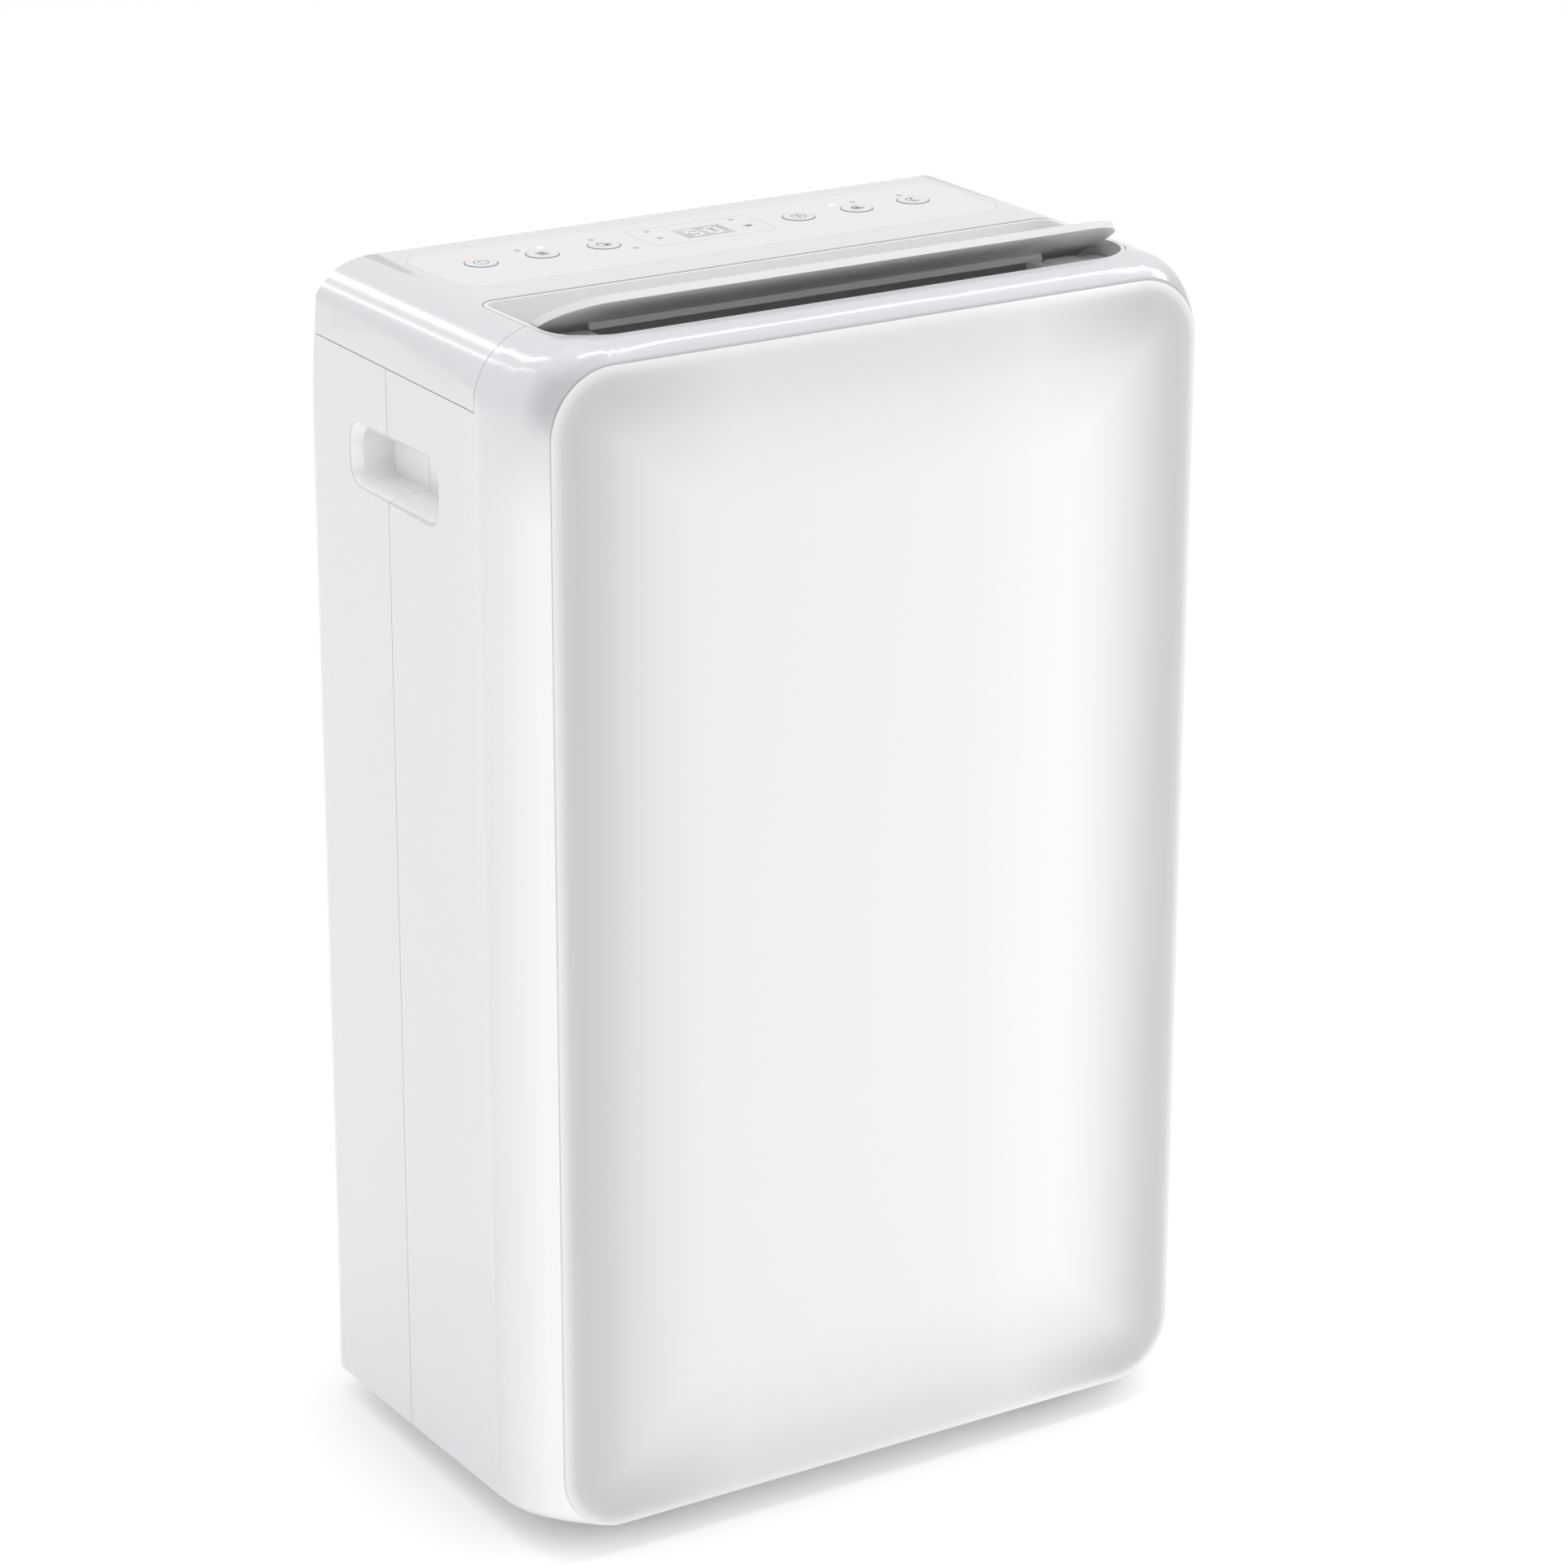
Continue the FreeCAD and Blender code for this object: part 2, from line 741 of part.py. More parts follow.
# Indicator lights: across, and depth from the panel's edge plane.
LIGHTS = (
    ("-button_outer", "led_depth"),
    ("-button_middle - 6.5", "led_depth"),
    ("-button_middle + 5.5", "led_depth"),
    ("-button_inner", "led_depth"),
    ("-43", "led_depth - 24"),
    ("-23", "led_depth"),
    ("23", "led_depth"),
    ("button_middle - 6.5", "led_depth"),
    ("button_middle + 5.5", "led_depth"),
    ("button_outer", "led_depth"),
)

OVERLAY_LOW = height("body_height - overlay_thickness - 0.05")


def top_cover():
    """Top of the casing behind the outlet's front strip, with the control panel's bed and posts."""
    cover = common("top_part", skin, top_region)
    posts = []
    for index, (x, y) in enumerate(((-128, 145), (128, 145), (-128, 172), (128, 172), (0, 172))):
        start = (str(x), depth(str(y)), height("board_height + board_thickness"))
        posts.append(rod(f"board_post_{index}", "2.5", start,
                         "body_height - board_height - board_thickness - 1"))
    bed = block("overlay_bed_block", ("-overlay_half - 0.1", "overlay_half + 0.1"),
                (depth("overlay_front - 0.1"), depth("overlay_rear + 0.1")), (OVERLAY_LOW, f"{TOP} + 5"))
    bed = rounded("overlay_bed", bed, "Z", size("overlay_corner"))
    holes = [bed]
    for name, x in BUTTONS:
        start = (x, depth("button_depth"), height("board_height + 4"))
        holes.append(rod(name + "_hole", "button_radius + loose_gap + 0.05", start, "40"))
    for index, (x, y) in enumerate(LIGHTS):
        holes.append(rod(f"light_hole_{index}", "led_radius + 0.1",
                         (x, depth(y), height("board_height + 4")), "40"))
    holes.append(block("window_hole", ("-window_width / 2 + 1", "window_width / 2 - 1"),
                       (depth("window_depth - window_length / 2 + 1"),
                        depth("window_depth + window_length / 2 - 1")),
                       (height("board_height + 4"), f"{TOP} + 5")))
    on_top("top_cover", join("top_joined", [cover] + posts), holes)


def control_overlay():
    """Thin film on the top cover that carries the control panel's outline."""
    body = new_body("control_overlay")
    sketch = new_sketch(body, "XY", OVERLAY_LOW + " + 0.05")
    draw_rectangle(sketch, "-overlay_half", "overlay_half", depth("overlay_front"), depth("overlay_rear"))
    pad(body, sketch, "overlay_thickness")
    round_body(body, "Z", "overlay_corner")
    doc.recompute()
    holes = new_sketch(body, "XY", f"{TOP} + 1")
    for name, x in BUTTONS:
        draw_circle(holes, x, depth("button_depth"), "button_radius + loose_gap")
    for x, y in LIGHTS:
        draw_circle(holes, x, depth(y), "led_radius + 0.05")
    draw_rectangle(holes, "-window_width / 2 - 0.05", "window_width / 2 + 0.05",
                   depth("window_depth - window_length / 2 - 0.05"),
                   depth("window_depth + window_length / 2 + 0.05"))
    pocket(body, holes, "10")


def display_window():
    """Clear window over the two-digit display."""
    body = new_body("display_window")
    sketch = new_sketch(body, "XY", OVERLAY_LOW + " + 0.05")
    draw_rectangle(sketch, "-window_width / 2", "window_width / 2",
                   depth("window_depth - window_length / 2"), depth("window_depth + window_length / 2"))
    pad(body, sketch, "overlay_thickness")


def led_lenses():
    """Small light pipes from the board up to the overlay's face."""
    pipes = []
    for index, (x, y) in enumerate(LIGHTS):
        start = (x, depth(y), height("board_height + board_thickness"))
        pipes.append(rod(f"light_{index}", "led_radius", start,
                         "body_height - board_height - board_thickness"))
    finish("led_lenses", group("led_lenses", pipes))


def button(name, x):
    """One push button: a shallow cap on a guided stem with a stop flange under the cover."""
    body = new_body(name)
    low = height("board_height + board_thickness + switch_height + button_travel + loose_gap")
    stem = new_sketch(body, "XY", low)
    draw_circle(stem, x, depth("button_depth"), "button_radius")
    pad(body, stem, f"{TOP} + button_rise - ({low})")
    ease_face(body, V(0, 0, 1), "0.5")
    ring = new_sketch(body, "XY", low)
    draw_circle(ring, x, depth("button_depth"), "button_radius + 1.5")
    pad(body, ring, "2.5")


def control_board():
    """Circuit board under the top cover, with a push switch under each button and the display."""
    plate = block("board_plate", ("-134", "134"), (depth("button_depth - 16"), depth("led_depth + 10")),
                  (height("board_height"), height("board_height + board_thickness")))
    pieces = [plate]
    for name, x in BUTTONS:
        low = height("board_height + board_thickness")
        pieces.append(block(name + "_switch", (f"{x} - 3", f"{x} + 3"),
                            (depth("button_depth - 3"), depth("button_depth + 3")), (low,
                                                                                     f"{low} + switch_height - 1.5")))
        pieces.append(rod(name + "_plunger", "1.7", (x, depth("button_depth"), low), "switch_height"))
    low = height("board_height + board_thickness")
    pieces.append(block("display_module", ("-window_width / 2 + 1.5", "window_width / 2 - 1.5"),
                        (depth("window_depth - 6.5"), depth("window_depth + 6.5")), (low, f"{low} + 9")))
    finish("control_board", join("control_board", pieces))


# ----------------------------------------------------------------------------------------------
# Front panel
# ----------------------------------------------------------------------------------------------

def front_panel():
    """Crowned cover on the whole front: a pillow that falls away to a thin edge, hollow behind."""
    front = (size("crown") - size("body_depth")) / 2
    low = size("floor_gap")
    high = low + size("panel_height")
    half = size("panel_width") / 2

    def outline(inset, forward):
        radius = max(size("panel_corner") - inset * 0.55, 6)
        return rounded_wire(-half + inset, half - inset, low + inset, high - inset, (radius,) * 4,
                            lambda a, b: V(a, front - forward, b))

    run = size("crown_run")
    steps = [(0.0, -size("panel_back")), (0.0, 0.0)]
    for share in (0.03, 0.1, 0.22, 0.4, 0.65, 1.0):
        steps.append((run * share, size("crown") * math.sin(share * math.pi / 2) ** 0.7))
    rim = Part.makeLoft([outline(*step) for step in steps[:2]], True, True)
    pillow = Part.makeLoft([outline(*step) for step in steps[1:]], True, False)
    wall = size("panel_wall")
    back = [(wall, -size("panel_back") - 1), (wall, wall - size("panel_back") - 1.6)]
    for share in (0.3, 1.0):
        back.append((wall + run * share, size("crown") * math.sin(share * math.pi / 2) ** 0.7 - wall))
    hollow = Part.makeLoft([outline(*step) for step in back], True, True)
    whole = fixed_shape("panel_form", rim.fuse(pillow))
    on_top("front_panel", whole, [fixed_shape("panel_hollow", hollow)])


# ----------------------------------------------------------------------------------------------
# Air outlet: liner with dividers, vane and its motor, duct
# ----------------------------------------------------------------------------------------------

LINER_HALF = "(outlet_half - seam_gap - liner_wall)"


def louver_liner():
    """Pale liner of the outlet with its two dividers and the floors of the side pockets."""
    outer = outlet_prism("liner_outer", "seam_gap", height("liner_low"), f"{TOP} - liner_rim")
    inner = outlet_prism("liner_inner", "seam_gap + liner_wall", height("liner_low - 5"), f"{TOP} + 5")
    ring = cut("liner_ring", outer, [inner])
    pieces = [ring]
    y_span = (depth("outlet_front + seam_gap + 1"), depth("outlet_rear - seam_gap - 1"))
    for word, low_x, high_x in (("left", f"-{LINER_HALF} - 1", "divider_left + 1"),
                                ("right", "divider_right - 1", f"{LINER_HALF} + 1")):
        plate = block(f"pocket_floor_{word}", (low_x, high_x), y_span,
                      (height("liner_low"), height("liner_low + 2")))
        pieces.append(common(f"pocket_floor_cut_{word}", plate, outer))
    for word, x in (("left", "divider_left"), ("right", "divider_right")):
        pieces.append(block(f"divider_{word}", (f"{x} - 1", f"{x} + 1"),
                            (depth("outlet_front + seam_gap + 1"), f"{PIVOT_Y} - 6"),
                            (height("liner_low"), f"{TOP} - 9")))
    holes = []
    for word, side in (("left", "-1"), ("right", "1")):
        start = (f"{side} * outlet_half - 6", PIVOT_Y, PIVOT_Z)
        holes.append(rod(f"vane_bearing_{word}", "vane_pin_radius + running_gap", start, "12", "X"))
    on_top("louver_liner", join("liner_joined", pieces), holes)


def louver_vane():
    """The flap that closes the outlet, with a pin at each end, standing partly open."""
    half = f"({LINER_HALF} - vane_gap)"
    reach = "((outlet_rear - outlet_front) / 2 - seam_gap - liner_wall - vane_gap)"
    plate = block("vane_block", (f"-{half}", half), (f"-{reach}", reach),
                  ("-vane_thickness / 2", "vane_thickness / 2"))
    corner = size("outlet_front_corner") - size("seam_gap") - size("liner_wall")
    plate = rounded("vane_plate", plate, "Z", lambda spot: corner if spot.y < 0 else 6)
    pin_out = "liner_wall + vane_gap - 0.4"
    pieces = [plate]
    for word, start in (("left", f"-{half} - ({pin_out})"), ("right", f"{half} - 2")):
        pieces.append(rod(f"vane_pin_{word}", "vane_pin_radius", (start, "0", "0"), f"{pin_out} + 2", "X"))
    stiffener = block("vane_rib", (f"-{half} + 30", f"{half} - 30"), ("-1", "1"),
                      ("-vane_thickness / 2 - 3", "0"))
    vane = join("louver_vane", pieces + [stiffener])
    place(vane, "0", PIVOT_Y, PIVOT_Z)
    vane.Placement.Rotation = FreeCAD.Rotation(V(1, 0, 0), -size("vane_open"))
    finish("louver_vane", vane)


def louver_motor():
    """Geared stepper that drives the vane, in the left pocket."""
    front = "outlet_front + seam_gap + liner_wall + 1"
    case = block("louver_motor_case", (f"-{LINER_HALF} + 5.6", "divider_left - 1.3"),
                 (depth(f"{front} + 11"), depth(f"{front} + 33")),
                 (height("liner_low + 2"), height("liner_low + 30")))
    case = rounded("louver_motor_round", case, "X", 6)
    finish("louver_motor", case)


def duct_wire(low_x, high_x, low_y, high_y, level, inset):
    """A square-cornered section of the duct at one level, each side moved in by an inset."""
    return rounded_wire(low_x + inset, high_x - inset, low_y + inset, high_y - inset, (4,) * 4,
                        lambda a, b: V(a, b, level))


def outlet_duct():
    """Dark duct from the fan scroll up to the liner, with a guide ledge on its rear wall."""
    front = (size("crown") - size("body_depth")) / 2
    low = size("floor_gap") + size("scroll_high") + size("loose_gap")
    high = size("floor_gap") + size("liner_low")
    scroll_front = front + size("scroll_front")
    foot = (-size("scroll_half") + 10, size("scroll_half") - 10, scroll_front + 1,
            scroll_front + size("scroll_depth") - 1)
    head = (size("divider_left") + 1, size("divider_right") - 1,
            front + size("outlet_front") + size("seam_gap"), front + size("outlet_rear") - size("seam_gap"))
    shapes = []
    for inset in (0, size("liner_wall")):
        extra = inset and 1
        wires = [duct_wire(*foot, low - extra, inset), duct_wire(*head, high + extra, inset)]
        shapes.append(Part.makeLoft(wires, True, True))
    tube = cut("duct_tube", fixed_shape("duct_outer", shapes[0]), [fixed_shape("duct_inner", shapes[1])])
    ledge = block("duct_ledge_block", ("divider_left + 2", "divider_right - 30"),
                  (depth("outlet_rear - 19"), depth("outlet_rear - 3")), (height("liner_low - 12"),
                                                                          height("liner_low - 9")))
    trimmed = common("duct_ledge", ledge, fixed_shape("duct_reach", shapes[0].copy()))
    finish("outlet_duct", join("outlet_duct", [tube, trimmed]))


# ----------------------------------------------------------------------------------------------
# Fan
# ----------------------------------------------------------------------------------------------

SCROLL_REAR = "scroll_front + scroll_depth"
FAN_Z = height("fan_height")


def fan_scroll():
    """Open-topped housing round the fan wheel, with the inlet ring in its rear wall."""
    outer = block("scroll_outer", ("-scroll_half", "scroll_half"),
                  (depth("scroll_front + scroll_wall"), depth(SCROLL_REAR)),
                  (height("scroll_low"), height("scroll_high")))
    y_low = depth("scroll_front - 1")
    y_length = "scroll_depth + 1 - scroll_wall"
    spiral = rod("scroll_spiral", "scroll_half - scroll_wall", ("0", y_low, FAN_Z), y_length, "Y")
    throat = block("scroll_throat", ("scroll_wall - scroll_half", "scroll_half - scroll_wall"),
                   (y_low, depth(f"{SCROLL_REAR} - scroll_wall")), (FAN_Z, height("scroll_high + 5")))
    inlet = rod("scroll_inlet", "inlet_radius", ("0", depth(f"{SCROLL_REAR} - 10"), FAN_Z), "20", "Y")
    on_top("fan_scroll", outer, [spiral, throat, inlet])


def scroll_cover():
    """Flat front wall of the scroll, which carries the motor on a round boss."""
    plate = block("scroll_plate", ("-scroll_half", "scroll_half"),
                  (depth("scroll_front"), depth("scroll_front + scroll_wall")),
                  (height("scroll_low"), height("scroll_high")))
    finish("scroll_cover", rounded("scroll_cover", plate, "Y", 5))


def fan_motor():
    """Motor on the scroll's cover, inside the fan wheel."""
    start = depth("scroll_front + scroll_wall")
    drum = rod("motor_drum", "motor_radius", ("0", start, FAN_Z), "motor_length", "Y")
    nose = rod("motor_nose", "motor_radius / 2.5", ("0", start, FAN_Z), "motor_length + 3", "Y")
    bore = rod("motor_bore", "shaft_radius + running_gap", ("0", f"{start} + 8", FAN_Z), "motor_length",
               "Y")
    on_top("fan_motor", join("motor_joined", [drum, nose]), [bore])


def fan_shaft():
    """Steel shaft from the motor through the fan wheel's hub."""
    start = depth("scroll_front + scroll_wall + 8 + loose_gap")
    finish("fan_shaft", rod("fan_shaft", "shaft_radius", ("0", start, FAN_Z), "motor_length + 12", "Y"))


def fan_wheel():
    """Forward-curved wheel: hub plate, ring of blades and rim."""
    hub_front = "scroll_front + scroll_wall + motor_length + 4"
    wheel_front = "scroll_front + scroll_wall + 5"
    plate = rod("wheel_plate", "fan_radius", ("0", depth(hub_front), FAN_Z), "3", "Y")
    boss = rod("wheel_boss", "shaft_radius + 5", ("0", depth(hub_front), FAN_Z), "7", "Y")
    rims = []
    for word, start in (("front", wheel_front), ("rear", f"{wheel_front} + fan_width - 3")):
        ring = rod(f"wheel_ring_{word}", "fan_radius", ("0", depth(start), FAN_Z), "3", "Y")
        eye = rod(f"wheel_eye_{word}", "fan_radius - blade_length", ("0", depth(f"{start} - 1"), FAN_Z),
                  "5", "Y")
        rims.append(cut(f"wheel_rim_{word}", ring, [eye]))
    blades = []
    count = int(size("blade_count"))
    for index in range(count):
        angle = 360.0 * index / count
        blade = block(f"blade_{index}", ("0", "blade_length - 1"), ("0", "fan_width - 1"), ("0", "1.2"))
        spot = V(0, 1, 0)
        turn = FreeCAD.Rotation(spot, -angle)
        blade.Placement.Rotation = FreeCAD.Rotation(spot, -angle - 35)
        start = turn.multVec(V(1, 0, 0))
        reach = "(fan_radius - blade_length + 0.5)"
        place(blade, f"{start.x:.6f} * {reach}", depth(f"{wheel_front} + 0.5"),
              f"{FAN_Z} + {start.z:.6f} * {reach}")
        blades.append(blade)
    trim = rod("blade_trim", "fan_radius", ("0", depth(wheel_front), FAN_Z), "fan_width", "Y")
    ring_of_blades = common("wheel_blades", group("wheel_blade_group", blades), trim)
    joined = join("wheel_joined", [plate, boss] + rims + [ring_of_blades])
    bore = rod("wheel_bore", "shaft_radius", ("0", depth(f"{hub_front} - 5"), FAN_Z), "20", "Y")
    on_top("fan_wheel", joined, [bore])


# ----------------------------------------------------------------------------------------------
# Coils, shroud and drain
# ----------------------------------------------------------------------------------------------

def coil(label, front):
    """A finned coil: straight tubes through thin fins, joined in turn by bends at both ends."""
    middle = depth(f"{front} + coil_thickness / 2")
    rows = int(size("tube_rows"))
    pitch = f"((coil_high - coil_low) / {rows})"
    pieces = []
    fins = int(size("fin_count"))
    for index in range(fins):
        x = f"-fin_half + {index} * (2 * fin_half - fin_thickness) / {fins - 1}"
        pieces.append(block(f"{label}_fin_{index}", (x, f"{x} + fin_thickness"),
                            (depth(front), depth(f"{front} + coil_thickness")), (height("coil_low"),
                                                                                 height("coil_high"))))
    for row in range(rows):
        level = height(f"coil_low + {pitch} * {row + 0.5}")
        pieces.append(rod(f"{label}_tube_{row}", "tube_radius", ("-fin_half - 9", middle, level),
                          "2 * fin_half + 18", "X"))
        if row < rows - 1:
            side = -1 if row % 2 else 1
            x = f"{side} * (fin_half + 5)"
            pieces.append(rod(f"{label}_bend_{row}", "tube_radius - 1", (x, middle, level), pitch, "Z"))
    finish(label, join(label, pieces))


def coil_shroud():
    """Frame round both coils, whose front wall holds the fan's inlet."""
    outer = block("shroud_outer", ("-shroud_half", "shroud_half"),
                  (depth("shroud_front"), depth("shroud_rear")),
                  (height("bay_high"), height("shroud_high")))
    inner = block("shroud_inner", ("shroud_wall - shroud_half", "shroud_half - shroud_wall"),
                  (depth("shroud_front + shroud_wall"), depth("shroud_rear + 5")),
                  (height("bay_high + shroud_wall"), height("shroud_high - shroud_wall")))
    inlet = rod("shroud_inlet", "inlet_radius", ("0", depth("shroud_front - 5"), FAN_Z), "20", "Y")
    nozzle = rod("shroud_nozzle_hole", "nozzle_radius + loose_gap",
                 ("60", depth("evaporator_front"), height("bay_high - 5")),
                 "20")
    holes = [inlet, nozzle]
    for index, (y, level) in enumerate(PIPE_ENDS):
        holes.append(rod(f"shroud_pipe_hole_{index}", "pipe_radius + loose_gap",
                         ("shroud_half - 10", y, level), "20", "X"))
    on_top("coil_shroud", outer, [inner] + holes)


def drain_pan():
    """Tray under the coils, with a nozzle that drips into the tank."""
    low = "bay_high + shroud_wall + loose_gap"
    y_span = ("condenser_front - 4", "shroud_rear - 2")
    outer = block("pan_outer", ("-shroud_half + shroud_wall + 1", "shroud_half - shroud_wall - 1"),
                  (depth(y_span[0]), depth(y_span[1])), (height(low), height(f"{low} + pan_height")))
    inner = block("pan_inner", ("-shroud_half + shroud_wall + 3", "shroud_half - shroud_wall - 3"),
                  (depth(f"{y_span[0]} + 2"), depth(f"{y_span[1]} - 2")), (height(f"{low} + 2"),
                                                                           height(f"{low} + pan_height + 5")))
    spot = ("60", depth("evaporator_front"))
    nozzle = rod("pan_nozzle", "nozzle_radius", (*spot, height("tank_high + lid_thickness + 3")),
                 f"{low} + 1 - tank_high - lid_thickness - 3")
    bore = rod("pan_nozzle_bore", "nozzle_radius - 1.5", (*spot, height("tank_high")), "40")
    tray = cut("pan_tray", join("pan_joined", [outer, nozzle]), [inner, bore])
    ribs = []
    for word, x in (("left", "20 - fin_half"), ("right", "fin_half - 24")):
        ribs.append(block(f"pan_rib_{word}", (x, f"{x} + 4"),
                          (depth(f"{y_span[0]} + 1"), depth(f"{y_span[1]} - 1")),
                          (height(f"{low} + 1"), height("coil_low - loose_gap"))))
    finish("drain_pan", join("drain_pan", [tray] + ribs))


# Where a pipe passes the shroud's right wall: place back and height.
CONDENSER_Y = depth("condenser_front + coil_thickness / 2")
EVAPORATOR_Y = depth("evaporator_front + coil_thickness / 2")
PIPE_ENDS = (
    (CONDENSER_Y, height("coil_low + 20")),
    (CONDENSER_Y, height("coil_high - 60")),
    (EVAPORATOR_Y, height("coil_low + 58")),
    (EVAPORATOR_Y, height("coil_high - 20")),
)


def bent_pipe(label, points):
    """A copper pipe of the common radius along straight runs joined by arcs."""
    bend = size("pipe_bend")
    edges = []
    start = points[0]
    for before, corner, after in zip(points, points[1:], points[2:]):
        back = (before - corner).normalize()
        on = (after - corner).normalize()
        enter = corner + back * bend
        leave = corner + on * bend
        centre = corner + (back + on) * bend
        inward = (corner - centre).normalize()
        edges.append(Part.LineSegment(start, enter).toShape())
        edges.append(Part.Arc(enter, centre + inward * bend, leave).toShape())
        start = leave
    edges.append(Part.LineSegment(start, points[-1]).toShape())
    path = Part.Wire(edges)
    first = (points[1] - points[0]).normalize()
    section = Part.Wire(Part.makeCircle(size("pipe_radius"), points[0], first))
    finish(label, fixed_shape(label, path.makePipeShell([section], True, False)))


def pipes():
    """Discharge, suction and liquid lines between the compressor and the coils, and the filter drier."""
    front = (size("crown") - size("body_depth")) / 2
    low = size("floor_gap")
    x_in = size("fin_half") + 9 + size("loose_gap")
    near, far = size("shroud_half") + 14, size("shroud_half") + 26
    condenser = front + size("condenser_front") + size("coil_thickness") / 2
    evaporator = front + size("evaporator_front") + size("coil_thickness") / 2
    comp_x = size("compressor_x")
    comp_y = front + size("compressor_depth")
    comp_top = low + size("wall") + size("loose_gap") + size("tray_thickness") + size("grommet_height")
    comp_top += size("compressor_height")
    discharge_end = low + size("coil_low") + 20
    liquid_start = low + size("coil_high") - 60
    liquid_end = low + size("coil_low") + 58
    suction_end = low + size("coil_high") - 20
    bent_pipe("discharge_pipe", [
        V(comp_x - 15, comp_y, comp_top - 6), V(comp_x - 15, comp_y, comp_top + 18), V(near, comp_y,
                                                                                       comp_top + 18),
        V(near, condenser, comp_top + 18), V(near, condenser, discharge_end), V(x_in, condenser,
                                                                                discharge_end),
    ])
    bent_pipe("suction_pipe", [
        V(comp_x + 22, comp_y + 10, comp_top - 6), V(comp_x + 22, comp_y + 10, comp_top + 31), V(far,
                                                                                                 comp_y + 10, comp_top + 31),
        V(far, evaporator, comp_top + 31), V(far, evaporator, suction_end), V(x_in, evaporator,
                                                                              suction_end),
    ])
    turn_level = (liquid_start + liquid_end) / 2 - 30
    bent_pipe("liquid_pipe", [
        V(x_in, condenser, liquid_start), V(near, condenser, liquid_start), V(near, condenser, turn_level),
        V(near, evaporator, turn_level), V(near, evaporator, liquid_end), V(x_in, evaporator, liquid_end),
    ])
    drum = rod("drier_drum", "8", (f"{near}", CONDENSER_Y, height("coil_high - 130")), "44")
    caps = rod("drier_caps", "5", (f"{near}", CONDENSER_Y, height("coil_high - 135")), "54")
    hole = rod("drier_hole", "pipe_radius + running_gap",
               (f"{near}", CONDENSER_Y, height("coil_high - 140")), "70")
    on_top("filter_drier", join("drier_joined", [drum, caps]), [hole])


# ----------------------------------------------------------------------------------------------
# Compressor and electrics
# ----------------------------------------------------------------------------------------------

TRAY_LOW = "(wall + loose_gap)"
TRAY_TOP = "(wall + loose_gap + tray_thickness)"
FEET_ANGLES = (60, 180, 300)


def foot_spot(angle):
    """Across and back place of one compressor foot."""
    return (f"compressor_x + foot_circle * cos({angle})",
            depth(f"compressor_depth + foot_circle * sin({angle})"))


def compressor():
    """Hermetic compressor: a domed can on a three-lobed base plate, with its terminal box."""
    x, y = "compressor_x", depth("compressor_depth")
    low = f"{TRAY_TOP} + grommet_height"
    can = rod("compressor_can", "compressor_radius", (x, y, height(f"{low} + 3")), "compressor_height - 3")
    doc.recompute()
    dome = doc.addObject("Part::Fillet", "compressor_dome")
    dome.Base = can
    radius = size("compressor_radius") * 0.45
    rims = [index for index, edge in enumerate(can.Shape.Edges, 1) if isinstance(edge.Curve, Part.Circle)]
    dome.Edges = [(index, radius, radius) for index in rims]
    pieces = [dome, rod("compressor_base", "compressor_radius - 8", (x, y, height(low)), "12")]
    pieces.append(block("compressor_terminals", (f"{x} - 14", f"{x} + 14"), (f"{y} - 26", f"{y} - 4"),
                        (height(f"{low} + compressor_height - 25"),
                         height(f"{low} + compressor_height + 8"))))
    for index, angle in enumerate(FEET_ANGLES):
        pieces.append(rod(f"compressor_foot_{index}", "foot_radius", (*foot_spot(angle), height(low)), "3"))
        arm = block(f"compressor_arm_{index}", ("0", "foot_circle"), ("-5", "5"), ("0", "3"))
        arm.Placement.Rotation = FreeCAD.Rotation(V(0, 0, 1), angle)
        arm.setExpression("Placement.Base.x", link(f"{x} + 5 * sin({angle})"))
        arm.setExpression("Placement.Base.y", link(f"{y} - 5 * cos({angle})"))
        arm.setExpression("Placement.Base.z", link(height(low)))
        pieces.append(arm)
    ports = []
    for index, (across, back) in enumerate(((-15, 0), (22, 10))):
        start = (f"{x} + {across}", f"{y} + {back}", height(f"{low} + compressor_height - 20"))
        ports.append(rod(f"compressor_port_{index}", "pipe_radius + running_gap", start, "40"))
    on_top("compressor", join("compressor_joined", pieces), ports)


def compressor_grommets():
    """Rubber mounts under the compressor's three feet."""
    pieces = []
    for index, angle in enumerate(FEET_ANGLES):
        pieces.append(rod(f"grommet_{index}", "foot_radius", (*foot_spot(angle), height(TRAY_TOP)),
                          "grommet_height"))
    finish("compressor_grommets", group("compressor_grommets", pieces))


BOX_X = ("-152", "-66")
BOX_Y = ("16", "92")
BOX_HIGH = "176"
BOX_LOW = "(2 * wheel_radius + 1.5 + fork_crown + stem_length + 3 * loose_gap)"


def electrical_box():
    """Box on the base tray for the main board, open towards the middle of the casing."""
    outer = block("box_outer", BOX_X, (depth(BOX_Y[0]), depth(BOX_Y[1])), (BOX_LOW, height(BOX_HIGH)))
    inner = block("box_inner", (f"{BOX_X[0]} + 2", f"{BOX_X[1]} + 5"),
                  (depth(f"{BOX_Y[0]} + 2"), depth(f"{BOX_Y[1]} - 2")),
                  (f"{BOX_LOW} + 2", height(f"{BOX_HIGH} - 2")))
    posts = []
    for index, (y, level) in enumerate(((28, 38), (80, 38), (28, 160), (80, 160))):
        posts.append(rod(f"box_post_{index}", "3", (f"{BOX_X[0]} + 1", depth(str(y)), height(str(level))),
                         "9", "X"))
    finish("electrical_box", join("electrical_box", [cut("box_shell", outer, [inner])] + posts))


